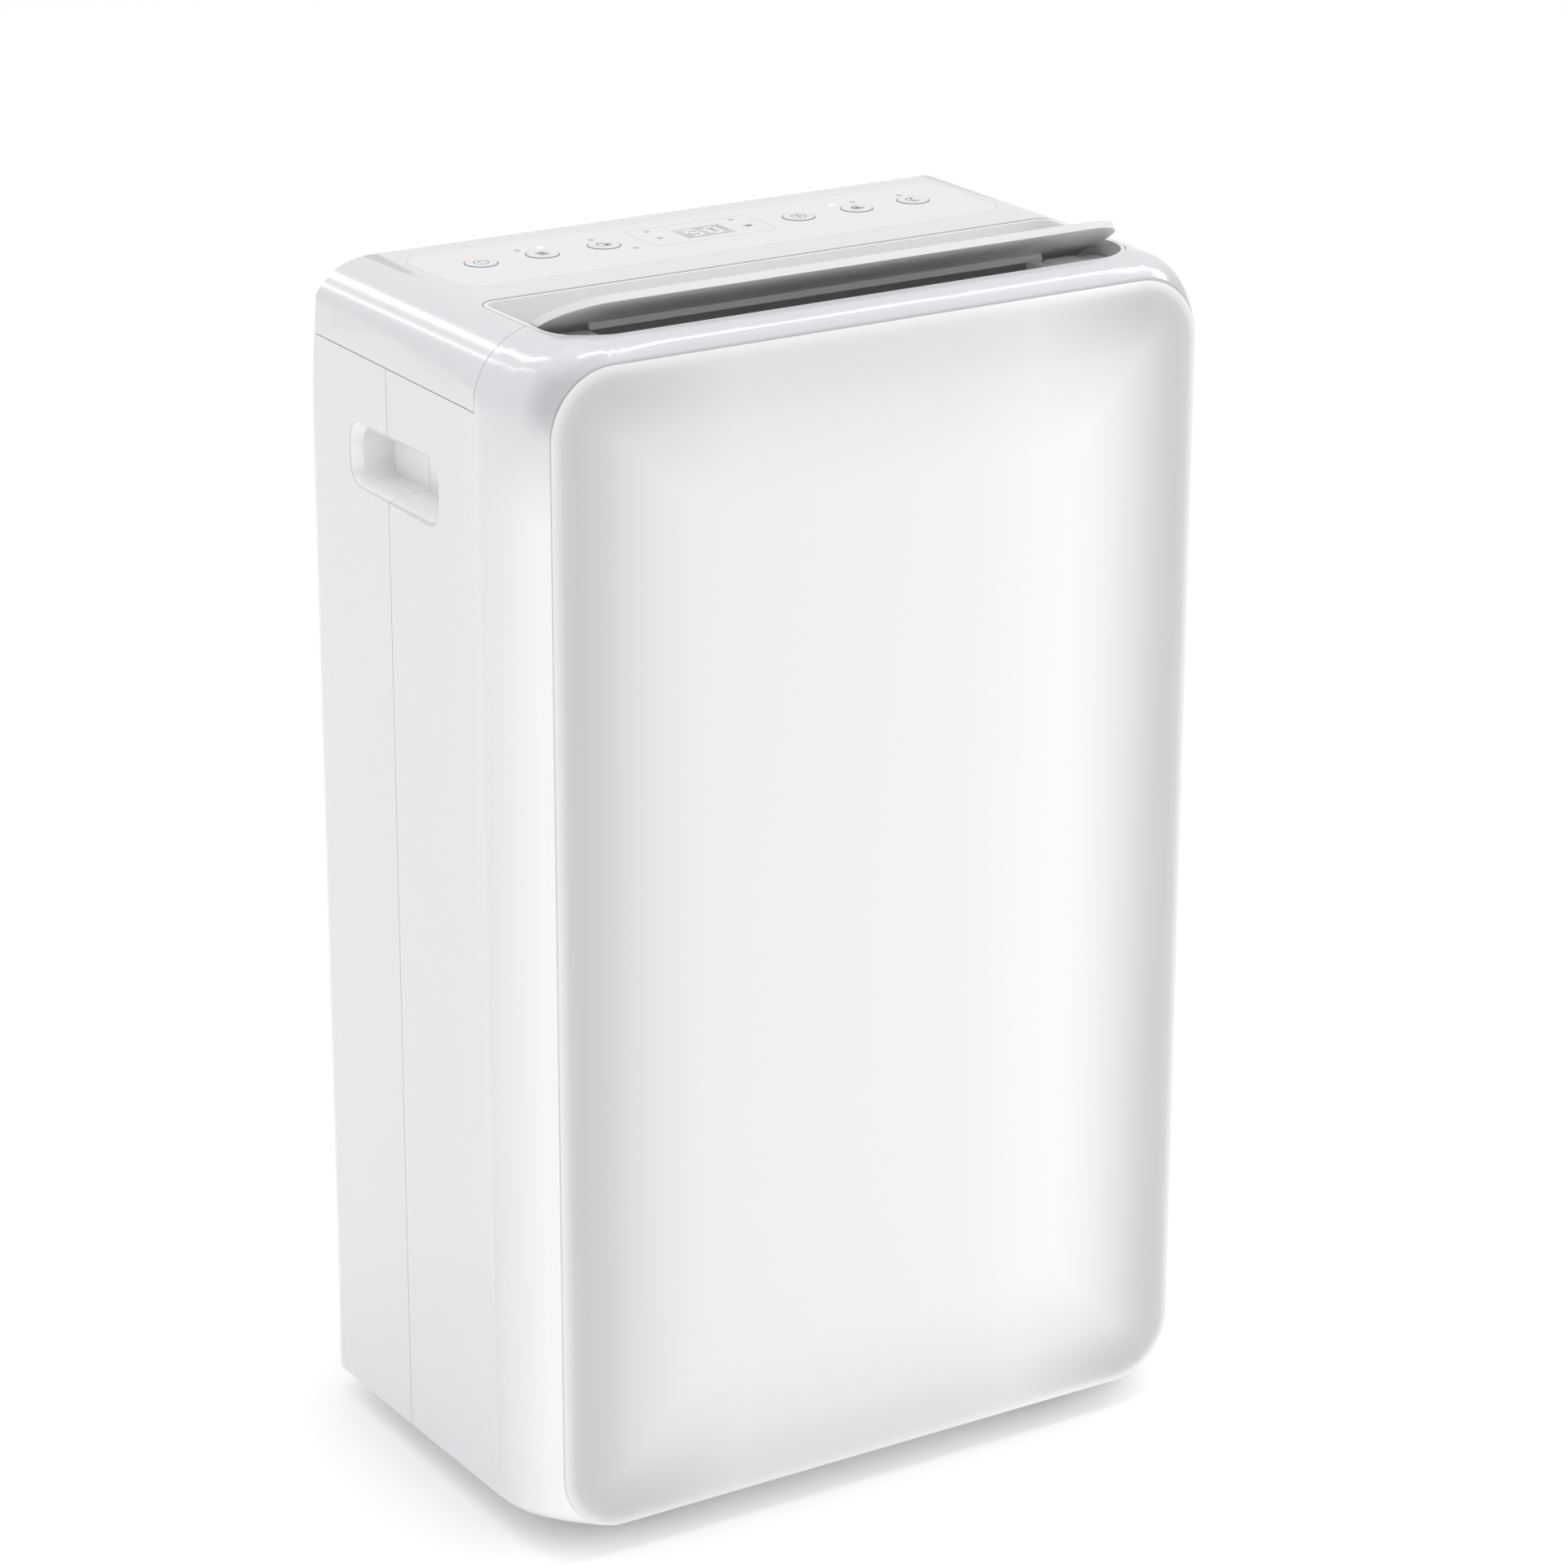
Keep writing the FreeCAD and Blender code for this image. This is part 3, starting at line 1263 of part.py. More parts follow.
def main_board():
    """Main circuit board upright in its box, with a transformer, relays and a fuse."""
    face = f"{BOX_X[0]} + 10"
    plate = block("main_plate", (face, f"{face} + board_thickness"), (depth("20"), depth("88")),
                  (height("30"), height("168")))
    pieces = [plate]
    parts = ((22, 50, 36, 68, 34), (56, 80, 38, 58, 18), (56, 80, 66, 88, 18), (24, 44, 84, 120, 12),
             (52, 84, 110, 150, 10))
    for index, (y_low, y_high, z_low, z_high, tall) in enumerate(parts):
        pieces.append(block(f"main_part_{index}",
                            (f"{face} + board_thickness - 0.5", f"{face} + board_thickness + {tall}"),
                            (depth(str(y_low)), depth(str(y_high))), (height(str(z_low)),
                                                                      height(str(z_high)))))
    finish("main_board", join("main_board", pieces))


def run_capacitor():
    """Capacitor can upright on the base tray between the box and the compressor."""
    finish("run_capacitor", rod("run_capacitor", "14", ("-46", depth("56"), height(TRAY_TOP)), "80"))


# ----------------------------------------------------------------------------------------------
# Base tray and casters
# ----------------------------------------------------------------------------------------------

CASTERS = (("front_left", -1, -1), ("front_right", 1, -1), ("rear_left", -1, 1), ("rear_right", 1, 1))
WELL_CEILING = "(2 * wheel_radius + 1.5 + fork_crown + loose_gap)"


def base_tray():
    """Base plate with a well and a stem socket for each caster."""
    plate = block("tray_plate", ("base_flange - body_width / 2 - 8", "body_width / 2 - base_flange + 8"),
                  (depth("base_flange - 7"), f"{REAR} - base_flange + 7"), (height(TRAY_LOW),
                                                                            height(TRAY_TOP)))
    rim = block("tray_key", ("base_flange - body_width / 2 + loose_gap",
                             "body_width / 2 - base_flange - loose_gap"),
                (depth("base_flange + loose_gap"), f"{REAR} - base_flange - loose_gap"), (height("1"),
                                                                                          height(TRAY_TOP)))
    space = casing_form("tray_space", size("panel_back") + size("wall") + 1,
                        size("wall") + size("loose_gap"))
    pieces = [common("tray_trimmed", plate, space), rim]
    holes = []
    for word, side, way in CASTERS:
        spot = (f"{side} * caster_x", f"{way} * caster_y")
        pieces.append(rod(f"well_{word}", "well_radius + well_wall", (*spot, height("1")),
                          f"{WELL_CEILING} + well_roof - {BOTTOM} - 1"))
        pieces.append(rod(f"socket_{word}", "stem_radius + 3.5", (*spot, f"{WELL_CEILING}"),
                          "stem_length + loose_gap"))
        holes.append(rod(f"well_hole_{word}", "well_radius", (*spot, "0"), WELL_CEILING))
        holes.append(rod(f"stem_hole_{word}", "stem_radius + running_gap", (*spot, "0"), "80"))
    on_top("base_tray", join("tray_joined", pieces), holes)


def caster_fork(word, side, way):
    """Swivel fork with its stem and the wheel's axle, trailing to the rear."""
    x, y = f"{side} * caster_x", f"{way} * caster_y"
    crown_low = "(2 * wheel_radius + 1.5)"
    pieces = [rod(f"fork_crown_{word}", "wheel_radius", (x, y, crown_low), "fork_crown")]
    pieces.append(rod(f"fork_stem_{word}", "stem_radius", (x, y, crown_low), "fork_crown + stem_length"))
    inner = "(wheel_width / 2 + wheel_gap)"
    for index, (low_x, high_x) in enumerate(((f"-{inner} - fork_cheek", f"-{inner}"),
                                             (inner, f"{inner} + fork_cheek"))):
        span = (f"{x} + {low_x}", f"{x} + {high_x}")
        pieces.append(block(f"fork_cheek_{word}_{index}", span,
                            (f"{y} + caster_trail - 12", f"{y} + caster_trail + 5"),
                            ("wheel_radius - 5", f"{crown_low} + 1")))
    axle = rod(f"fork_axle_{word}", "axle_radius",
               (f"{x} - {inner} - fork_cheek - 0.5", f"{y} + caster_trail", "wheel_radius"),
               f"2 * ({inner} + fork_cheek + 0.5)", "X")
    finish(f"caster_fork_{word}", join(f"caster_fork_{word}", pieces + [axle]))


def caster_wheel(word, side, way):
    """Caster wheel with a rounded tread and dished sides."""
    body = new_body(f"caster_wheel_{word}")
    x = f"{side} * caster_x"
    sketch = new_sketch(body, "YZ", f"{x} - wheel_width / 2")
    y = f"{way} * caster_y + caster_trail"
    draw_circle(sketch, y, "wheel_radius", "wheel_radius")
    pad(body, sketch, "wheel_width")
    ease_face(body, V(1, 0, 0), "1.5")
    ease_face(body, V(-1, 0, 0), "1.5")
    doc.recompute()
    for offset, flip in ((f"{x} + wheel_width / 2", True), (f"{x} - wheel_width / 2", False)):
        dish = new_sketch(body, "YZ", offset)
        draw_circle(dish, y, "wheel_radius", "wheel_radius - 3.5")
        draw_circle(dish, y, "wheel_radius", "axle_radius + 2")
        pocket(body, dish, "2", flip)
    bore = new_sketch(body, "YZ", f"{x} + wheel_width / 2 + 1")
    draw_circle(bore, y, "wheel_radius", "axle_radius + running_gap")
    pocket(body, bore, "wheel_width + 2")


# ----------------------------------------------------------------------------------------------
# Water tank and its bay
# ----------------------------------------------------------------------------------------------

TANK_Y = (depth("tank_front"), f"{REAR} - tank_recess")


def water_tank():
    """Open-topped tank with a finger pull in its rear face."""
    outer = block("tank_outer", ("-tank_half", "tank_half"), TANK_Y,
                  (height("tank_low"), height("tank_high")))
    outer = rounded("tank_outer_round", outer, "Z", 5)
    inner = block("tank_inner", ("tank_wall - tank_half", "tank_half - tank_wall"),
                  (f"{TANK_Y[0]} + tank_wall", f"{TANK_Y[1]} - tank_wall"),
                  (height("tank_low + tank_wall"), height("tank_high + 5")))
    hollow = cut("tank_shell", outer, [inner])
    pull_wall = block("pull_wall", ("-pull_half - tank_wall", "pull_half + tank_wall"),
                      (f"{TANK_Y[1]} - pull_depth - tank_wall", f"{TANK_Y[1]} - 0.5"),
                      (height("pull_low - tank_wall"), height("pull_high + tank_wall")))
    pull = block("pull_cut_block", ("-pull_half", "pull_half"),
                 (f"{TANK_Y[1]} - pull_depth", f"{TANK_Y[1]} + 5"),
                 (height("pull_low"), height("pull_high")))
    on_top("water_tank", join("tank_joined", [hollow, pull_wall]), [rounded("pull_cut", pull, "Y", 8)])


FLOAT_Y = f"({TANK_Y[0]} + 22)"
FLOAT_Z = height("tank_high - 24")


def tank_lid():
    """Lid of the tank with a drip hole, a pouring hole and the float's two hinge lugs."""
    low = height("tank_high + loose_gap")
    plate = block("lid_plate", ("-tank_half", "tank_half"), (TANK_Y[0], f"{TANK_Y[1]} - 1"),
                  (low, f"{low} + lid_thickness"))
    plate = rounded("lid_round", plate, "Z", 5)
    skirt_low = height("tank_high - 5")
    skirt = block("lid_skirt", ("tank_wall + loose_gap - tank_half", "tank_half - tank_wall - loose_gap"),
                  (f"{TANK_Y[0]} + tank_wall + loose_gap",
                   f"{TANK_Y[1]} - tank_wall - loose_gap"), (skirt_low, f"{low} + 1"))
    skirt_hole = block("lid_skirt_hole", ("tank_wall + 2 - tank_half", "tank_half - tank_wall - 2"),
                       (f"{TANK_Y[0]} + tank_wall + 2",
                        f"{TANK_Y[1]} - tank_wall - 2"), (f"{skirt_low} - 1", low))
    drip = rod("lid_drip_hole", "nozzle_radius + 6", ("60", depth("evaporator_front"), f"{low} - 10"), "30")
    pour = rod("lid_pour_hole", "14", ("-tank_half + 28", f"{TANK_Y[0]} + 26", f"{low} - 10"), "30")
    lugs = []
    for index, x in enumerate((-54, -26)):
        lugs.append(block(f"float_lug_{index}", (f"{x} - 1.2", f"{x} + 1.2"),
                          (f"{FLOAT_Y} - 5", f"{FLOAT_Y} + 5"),
                          (f"{FLOAT_Z} - 5", f"{low} + 0.5")))
    eye = rod("float_lug_eye", "vane_pin_radius + running_gap", ("-70", FLOAT_Y, FLOAT_Z), "60", "X")
    joined = join("lid_joined", [cut("lid_ring", join("lid_blank", [plate, skirt]), [skirt_hole])] + lugs)
    on_top("tank_lid", joined, [drip, pour, eye])


def tank_float():
    """Float on an arm that pivots under the lid and lifts as the tank fills."""
    pin = rod("float_pin", "vane_pin_radius", ("-54.8", FLOAT_Y, FLOAT_Z), "29.6", "X")
    arm = block("float_arm", ("float_x - float_arm_half", "float_x + float_arm_half"),
                (f"{FLOAT_Y} - 2", f"{FLOAT_Y} + float_reach + 4"), (f"{FLOAT_Z} - 2", f"{FLOAT_Z} + 2"))
    bulb = block("float_bulb_block", ("float_x - float_half", "float_x + float_half"),
                 (f"{FLOAT_Y} + float_reach", f"{FLOAT_Y} + float_reach + float_length"),
                 (f"{FLOAT_Z} - float_drop", f"{FLOAT_Z} + float_rise"))
    finish("tank_float", join("tank_float", [pin, arm, rounded("float_bulb", bulb, "Z", 5)]))


def tank_bay():
    """Fixed bay the tank slides into: floor, sides, front wall and roof, open to the rear."""
    side = "(tank_half + tank_gap + bay_wall)"
    front = f"({TANK_Y[0]} - tank_gap - bay_wall)"
    rear = depth("shroud_rear + 44")
    low = "tank_low - loose_gap - bay_wall"
    outer = block("bay_outer", (f"-{side}", side), (front, rear), (height(low), height("bay_high")))
    inner = block("bay_inner", (f"bay_wall - {side}", f"{side} - bay_wall"),
                  (f"{front} + bay_wall", f"{rear} + 5"),
                  (height(f"{low} + bay_wall"), height("bay_high - bay_wall")))
    hole = rod("bay_nozzle_hole", "nozzle_radius + loose_gap",
               ("60", depth("evaporator_front"), height("bay_high - 10")), "20")
    on_top("tank_bay", outer, [inner, hole])


def tank_bay_feet():
    """Four blocks that carry the bay on the base tray."""
    feet = []
    side = "(tank_half - 6)"
    top = "tank_low - loose_gap - bay_wall"
    for index, (way, y) in enumerate(((-1, 0), (1, 0), (-1, 1), (1, 1))):
        x = f"{way} * {side}"
        back = "tank_front + 4" if y == 0 else "tank_front + 87"
        feet.append(block(f"bay_foot_{index}", (f"{x} - 5", f"{x} + 5"),
                          (depth(back), depth(f"{back} + 10")),
                          (height(TRAY_TOP), height(top))))
    finish("tank_bay_feet", group("tank_bay_feet", feet))


# ----------------------------------------------------------------------------------------------
# Intake at the rear
# ----------------------------------------------------------------------------------------------

def rear_grille():
    """Intake grille that follows the rear of the casing, with four posts to the filter frame."""
    inner_form = casing_form("grille_inner_form", 5, size("grille_thickness"))
    shell = cut("grille_skin", outer_form, [inner_form])
    region = block("grille_region", ("-grille_half", "grille_half"),
                   (depth("side_seam_depth + 30"), f"{REAR} + 5"),
                   (height("grille_low"), height("grille_high")))
    plate = common("grille_plate", shell, region)
    rows = int(size("grille_rows"))
    columns = int(size("grille_columns"))
    margin = "8"
    pitch_z = f"((grille_high - grille_low - 2 * {margin}) / {rows})"
    pitch_x = f"((2 * grille_half - 2 * {margin} + rib_width) / {columns})"
    slots = []
    for row in range(rows):
        for column in range(columns):
            x = f"-grille_half + {margin} + {column} * {pitch_x}"
            z = height(f"grille_low + {margin} + {row} * {pitch_z}")
            slots.append(block(f"slot_{row}_{column}", (x, f"{x} + {pitch_x} - rib_width"),
                               (depth("side_seam_depth + 40"), f"{REAR} + 5"), (z, f"{z} + slot_height")))
    slotted = cut("grille_slotted", plate, slots)
    posts = []
    for index, (side, level) in enumerate(((-1, "filter_low + 4"), (1, "filter_low + 4"),
                                           (-1, "filter_high - 4"), (1, "filter_high - 4"))):
        posts.append(rod(f"grille_post_{index}", "3",
                         (f"{side} * (filter_half - 4)", depth(FILTER_REAR), height(level)), "60", "Y"))
    reach = casing_form("post_reach", 5, size("grille_thickness") / 2)
    trimmed = common("grille_posts", group("grille_post_group", posts), reach)
    finish("rear_grille", join("rear_grille", [slotted, trimmed]))


FILTER_FRONT = "(shroud_rear + loose_gap)"
FILTER_REAR = f"({FILTER_FRONT} + filter_thickness)"


def filter_frame():
    """Frame of the dust filter: a border with two upright and three level bars."""
    y_span = (depth(FILTER_FRONT), depth(FILTER_REAR))
    frame = block("filter_border", ("-filter_half", "filter_half"), y_span,
                  (height("filter_low"), height("filter_high")))
    windows = []
    for column in range(3):
        for row in range(4):
            width = "((2 * filter_half - 16 - 6) / 3)"
            tall = "((filter_high - filter_low - 16 - 9) / 4)"
            x = f"-filter_half + 8 + {column} * ({width} + 3)"
            z = height(f"filter_low + 8 + {row} * ({tall} + 3)")
            windows.append(block(f"filter_window_{column}_{row}", (x, f"{x} + {width}"),
                                 (depth(f"{FILTER_FRONT} - 5"), depth(f"{FILTER_REAR} + 5")), (z,
                                                                                               f"{z} + {tall}")))
    groove = block("filter_groove", ("5 - filter_half", "filter_half - 5"),
                   (depth(f"{FILTER_FRONT} + 2"),
                    depth(f"{FILTER_FRONT} + 3.2")), (height("filter_low + 5"), height("filter_high - 5")))
    on_top("filter_frame", frame, windows + [groove])


def filter_mesh():
    """Washable net held in the frame's groove."""
    body = new_body("filter_mesh")
    sketch = new_sketch(body, "XY", height("filter_low + 5.2"))
    draw_rectangle(sketch, "5.2 - filter_half", "filter_half - 5.2",
                   depth(f"{FILTER_FRONT} + 2.1"), depth(f"{FILTER_FRONT} + 3.1"))
    pad(body, sketch, "filter_high - filter_low - 10.4")


def small_parts():
    """Humidity sensor, cable gland, drain spout and its plug."""
    sensor_x = "shroud_half + loose_gap"
    board = block("sensor_board", (sensor_x, f"{sensor_x} + 4"), (depth("152"), depth("172")),
                  (height("300"), height("330")))
    cell = block("sensor_cell", (f"{sensor_x} + 3", f"{sensor_x} + 9"), (depth("156"), depth("168")),
                 (height("308"), height("322")))
    finish("humidity_sensor", join("humidity_sensor", [board, cell]))
    z = height("gland_height")
    collar = rod("gland_collar", "9", ("screw_x", f"{REAR} - 3 - wall", z), "2.8", "Y")
    barrel = rod("gland_barrel", "6.8", ("screw_x", f"{REAR} - 3 - wall", z), "wall + 2.8", "Y")
    bore = rod("gland_bore", "3.6", ("screw_x", f"{REAR} - 20", z), "30", "Y")
    on_top("cable_gland", join("gland_joined", [collar, barrel]), [bore])
    z = height("spout_height")
    flange = rod("spout_flange", "10.5", ("-screw_x", f"{REAR} - 3 - wall", z), "2.8", "Y")
    tube = rod("spout_tube", "7.8", ("-screw_x", f"{REAR} - wall - 22", z), "wall + 21", "Y")
    hole = rod("spout_bore", "6", ("-screw_x", f"{REAR} - 18", z), "30", "Y")
    on_top("drain_spout", join("spout_joined", [flange, tube]), [hole])
    plug = rod("plug_stopper", "6 - running_gap", ("-screw_x", f"{REAR} - 14", z), "12.6", "Y")
    head = rod("plug_head", "5", ("-screw_x", f"{REAR} - 14", z), "13.4", "Y")
    finish("drain_plug", join("drain_plug", [plug, head]))


# ----------------------------------------------------------------------------------------------
# Build
# ----------------------------------------------------------------------------------------------

def build():
    """Make every sub-part."""
    front_shell()
    rear_shell()
    case_screws()
    top_cover()
    control_overlay()
    display_window()
    led_lenses()
    for name, x in BUTTONS:
        button(name, x)
    control_board()
    front_panel()
    louver_liner()
    louver_vane()
    louver_motor()
    outlet_duct()
    fan_scroll()
    scroll_cover()
    fan_motor()
    fan_shaft()
    fan_wheel()
    coil("condenser", "condenser_front")
    coil("evaporator", "evaporator_front")
    coil_shroud()
    drain_pan()
    pipes()
    compressor()
    compressor_grommets()
    electrical_box()
    main_board()
    run_capacitor()
    base_tray()
    for caster in CASTERS:
        caster_fork(*caster)
        caster_wheel(*caster)
    water_tank()
    tank_lid()
    tank_float()
    tank_bay()
    tank_bay_feet()
    rear_grille()
    filter_frame()
    filter_mesh()
    small_parts()
    doc.recompute()


def check():
    """Stop on any failed object or bad sub-part."""
    for thing in doc.Objects:
        if "Invalid" in thing.State or "Error" in thing.State:
            raise RuntimeError(f"{thing.Name} failed: {thing.State}")
    bad = []
    for node in nodes:
        if node.Shape.isNull() or not node.Shape.isValid() or not node.Shape.Solids:
            bad.append(node.Label)
    if bad:
        raise RuntimeError(f"not valid solids: {bad}")


def write():
    """Write each sub-part to its own file."""
    os.makedirs("parts", exist_ok=True)
    for node in nodes:
        node.Shape.exportStep(f"parts/{node.Label}.step")


build()
check()
write()
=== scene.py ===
"""Looks for a free-standing dehumidifier: finishes, fine detail, floor, light and camera."""

import json
import math

import bmesh
import bpy
from mathutils import Matrix, Vector


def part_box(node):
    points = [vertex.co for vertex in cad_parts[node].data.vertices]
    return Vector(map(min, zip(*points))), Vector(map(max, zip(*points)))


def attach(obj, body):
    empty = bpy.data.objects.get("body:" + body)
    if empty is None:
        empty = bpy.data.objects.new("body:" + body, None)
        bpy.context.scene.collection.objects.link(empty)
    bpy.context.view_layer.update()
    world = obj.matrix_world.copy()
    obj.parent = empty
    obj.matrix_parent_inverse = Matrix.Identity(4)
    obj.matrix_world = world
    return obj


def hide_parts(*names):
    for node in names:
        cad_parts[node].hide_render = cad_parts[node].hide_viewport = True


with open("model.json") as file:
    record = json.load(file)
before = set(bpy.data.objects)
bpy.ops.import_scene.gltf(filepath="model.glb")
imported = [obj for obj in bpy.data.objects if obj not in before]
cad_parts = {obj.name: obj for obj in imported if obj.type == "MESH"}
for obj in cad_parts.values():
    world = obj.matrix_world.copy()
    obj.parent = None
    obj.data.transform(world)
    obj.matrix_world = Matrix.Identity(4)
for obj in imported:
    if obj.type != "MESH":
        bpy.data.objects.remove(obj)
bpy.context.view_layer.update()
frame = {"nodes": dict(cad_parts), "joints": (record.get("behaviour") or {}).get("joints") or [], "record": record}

MM = 0.001
nodes = frame["nodes"]
record = frame["record"]
slot_of = {part["node"]: part["material_slot"] for part in record["subparts"]}
body_of = {node: body for body, members in record["behaviour"]["bodies"].items() for node in members}
joints = {joint["name"]: joint for joint in frame["joints"]}


# ----------------------------------------------------------------------------------------------
# Places, from the frame
# ----------------------------------------------------------------------------------------------

def centre(node):
    """Middle of a node's box."""
    low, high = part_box(node)
    return (Vector(low) + Vector(high)) / 2


PANEL_LOW, PANEL_HIGH = (Vector(corner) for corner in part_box("front_panel"))
OVERLAY_LOW, OVERLAY_HIGH = (Vector(corner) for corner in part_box("control_overlay"))
OVERLAY_TOP = OVERLAY_HIGH.z
CASE_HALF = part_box("front_shell")[1][0]
HINGE_LINE = Vector(joints["louver_hinge"]["pos_m"])


# ----------------------------------------------------------------------------------------------
# Materials
# ----------------------------------------------------------------------------------------------

class Finish:
    """A material being put together: one principled shader and the nodes that feed it."""

    def __init__(self, name, color, roughness, **sockets):
        self.material = bpy.data.materials.new(name)
        self.material.use_nodes = True
        self.tree = self.material.node_tree
        self.shader = self.tree.nodes["Principled BSDF"]
        self.shader.inputs["Base Color"].default_value = (*color, 1.0)
        self.shader.inputs["Roughness"].default_value = roughness
        for socket, value in sockets.items():
            self.shader.inputs[socket.replace("_", " ")].default_value = value
        self.place = self.tree.nodes.new("ShaderNodeTexCoord").outputs["Object"]
        self.color = color
        self.roughness = roughness
        self.height = None

    def node(self, kind, **settings):
        """A new node; settings name its properties, or its inputs as in_Name."""
        made = self.tree.nodes.new(kind)
        for key, value in settings.items():
            if key.startswith("in_"):
                made.inputs[key[3:].replace("_", " ")].default_value = value
            else:
                setattr(made, key, value)
        return made

    def split_place(self):
        """The place on the piece, in metres, as one output for each axis."""
        split = self.node("ShaderNodeSeparateXYZ")
        self.link(self.place, split.inputs["Vector"])
        return split.outputs

    def math(self, operation, first, second=None):
        """A step of arithmetic on one or two values, each a number or another node's output."""
        step = self.node("ShaderNodeMath", operation=operation)
        for value, socket in zip((first, second), step.inputs):
            if isinstance(value, float):
                socket.default_value = value
            elif value is not None:
                self.link(value, socket)
        return step.outputs["Value"]

    def link(self, output, target):
        """Join an output to an input."""
        self.tree.links.new(output, target)
        return self

    def ramp(self, value, tones):
        """Grey tones at spots along a value from 0 to 1, blended smoothly."""
        ramp = self.node("ShaderNodeValToRGB")
        ramp.color_ramp.interpolation = "B_SPLINE"
        for index, (spot, tone) in enumerate(tones):
            stop = ramp.color_ramp.elements[index] if index < 2 else ramp.color_ramp.elements.new(spot)
            stop.position = spot
            stop.color = (tone, tone, tone, 1.0)
        self.link(value, ramp.inputs["Fac"])
        return ramp.outputs["Color"]

    def noise(self, scale, detail=3.0, roughness=0.5, stretch=None):
        """Noise over the piece; stretch scales it along each axis."""
        noise = self.node("ShaderNodeTexNoise", in_Scale=scale, in_Detail=detail, in_Roughness=roughness)
        source = self.place
        if stretch:
            mapping = self.node("ShaderNodeMapping")
            mapping.inputs["Scale"].default_value = stretch
            self.link(self.place, mapping.inputs["Vector"])
            source = mapping.outputs["Vector"]
        self.link(source, noise.inputs["Vector"])
        return noise.outputs["Fac"]

    def map_range(self, value, start, end, low=0.0, high=1.0):
        """A value's way from start to end, told as low to high and held at both ends."""
        step = self.node("ShaderNodeMapRange", in_From_Min=start, in_From_Max=end,
                         in_To_Min=low, in_To_Max=high)
        self.link(value, step.inputs["Value"])
        return step.outputs["Result"]

    def spread_noise(self, pattern, low=0.0, high=1.0):
        """A noise's usual middle span, 0.3 to 0.7, drawn out to low and high."""
        return self.map_range(pattern, 0.3, 0.7, low, high)

    def mix_color(self, amount, first, second):
        """A colour between two, each fixed or another node's output."""
        mix = self.node("ShaderNodeMix", data_type="RGBA")
        self.link(amount, mix.inputs[0])
        for color, socket in ((first, mix.inputs[6]), (second, mix.inputs[7])):
            if isinstance(color, tuple):
                socket.default_value = (*color, 1.0)
            else:
                self.link(color, socket)
        return mix.outputs[2]

    def vary_color(self, pattern, darker, lighter):
        """Let a pattern move the colour between two tones."""
        dark = tuple(channel * darker for channel in self.color)
        light = tuple(min(channel * lighter, 1.0) for channel in self.color)
        self.link(self.mix_color(self.spread_noise(pattern), dark, light), self.shader.inputs["Base Color"])
        return self

    def vary_roughness(self, pattern, low, high):
        """Let a pattern move the roughness between two values."""
        self.link(self.spread_noise(pattern, low, high), self.shader.inputs["Roughness"])
        return self

    def relief(self, pattern, depth_mm, strength=1.0):
        """Add a bump of a depth in millimetres on top of any before it."""
        bump = self.node("ShaderNodeBump", in_Strength=strength, in_Distance=depth_mm * MM)
        self.link(pattern, bump.inputs["Height"])
        if self.height:
            self.link(self.height, bump.inputs["Normal"])
        self.height = bump.outputs["Normal"]
        self.link(self.height, self.shader.inputs["Normal"])
        return self


def moulded(name, color, roughness, texture_mm=0.0, coat=0.0, spread=0.012):
    """Injection-moulded plastic: a faint mottle, uneven gloss, and a sparked texture if it has one."""
    finish = Finish(name, color, roughness, Coat_Weight=coat, Coat_Roughness=0.08)
    finish.vary_color(finish.noise(9.0, 4.0), 1.0 - spread, 1.0 + spread)
    finish.vary_roughness(finish.noise(8.0, 1.5), roughness * 0.92, roughness * 1.08)
    finish.relief(finish.noise(220.0, 2.0), 0.004, 0.5)
    if texture_mm:
        finish.relief(finish.noise(1500.0, 2.0), texture_mm, 0.6)
    return finish.material


def metal(name, color, roughness, stretch=(40.0, 1.0, 1.0)):
    """Drawn or rolled metal with fine lines along it and faint tarnish."""
    finish = Finish(name, color, roughness, Metallic=1.0)
    finish.vary_color(finish.noise(60.0, 6.0), 0.86, 1.06)
    finish.vary_roughness(finish.noise(90.0, 5.0, 0.6, stretch), roughness * 0.7, roughness * 1.3)
    finish.relief(finish.noise(500.0, 2.0, 0.5, stretch), 0.01, 0.5)
    return finish.material


def net(name, color, pitch_mm):
    """Woven filter net, drawn as raised crossing threads with dark holes between."""
    finish = Finish(name, color, 0.6)
    scale = 0.314 / (pitch_mm * MM)
    waves = []
    for axis in ("X", "Z"):
        wave = finish.node("ShaderNodeTexWave", bands_direction=axis, in_Scale=scale)
        finish.link(finish.place, wave.inputs["Vector"])
        waves.append(wave.outputs["Fac"])
    highest = finish.node("ShaderNodeMath", operation="MAXIMUM")
    finish.link(waves[0], highest.inputs[0]).link(waves[1], highest.inputs[1])
    finish.relief(highest.outputs["Value"], 0.2)
    finish.vary_color(highest.outputs["Value"], 0.35, 1.3)
    return finish.material


def glow(name, color, strength):
    """A lit lens: clear plastic with a small lamp's light coming through."""
    finish = Finish(name, color, 0.25, Emission_Strength=strength)
    finish.shader.inputs["Emission Color"].default_value = (*color, 1.0)
    finish.vary_color(finish.noise(700.0), 0.9, 1.1)
    return finish.material


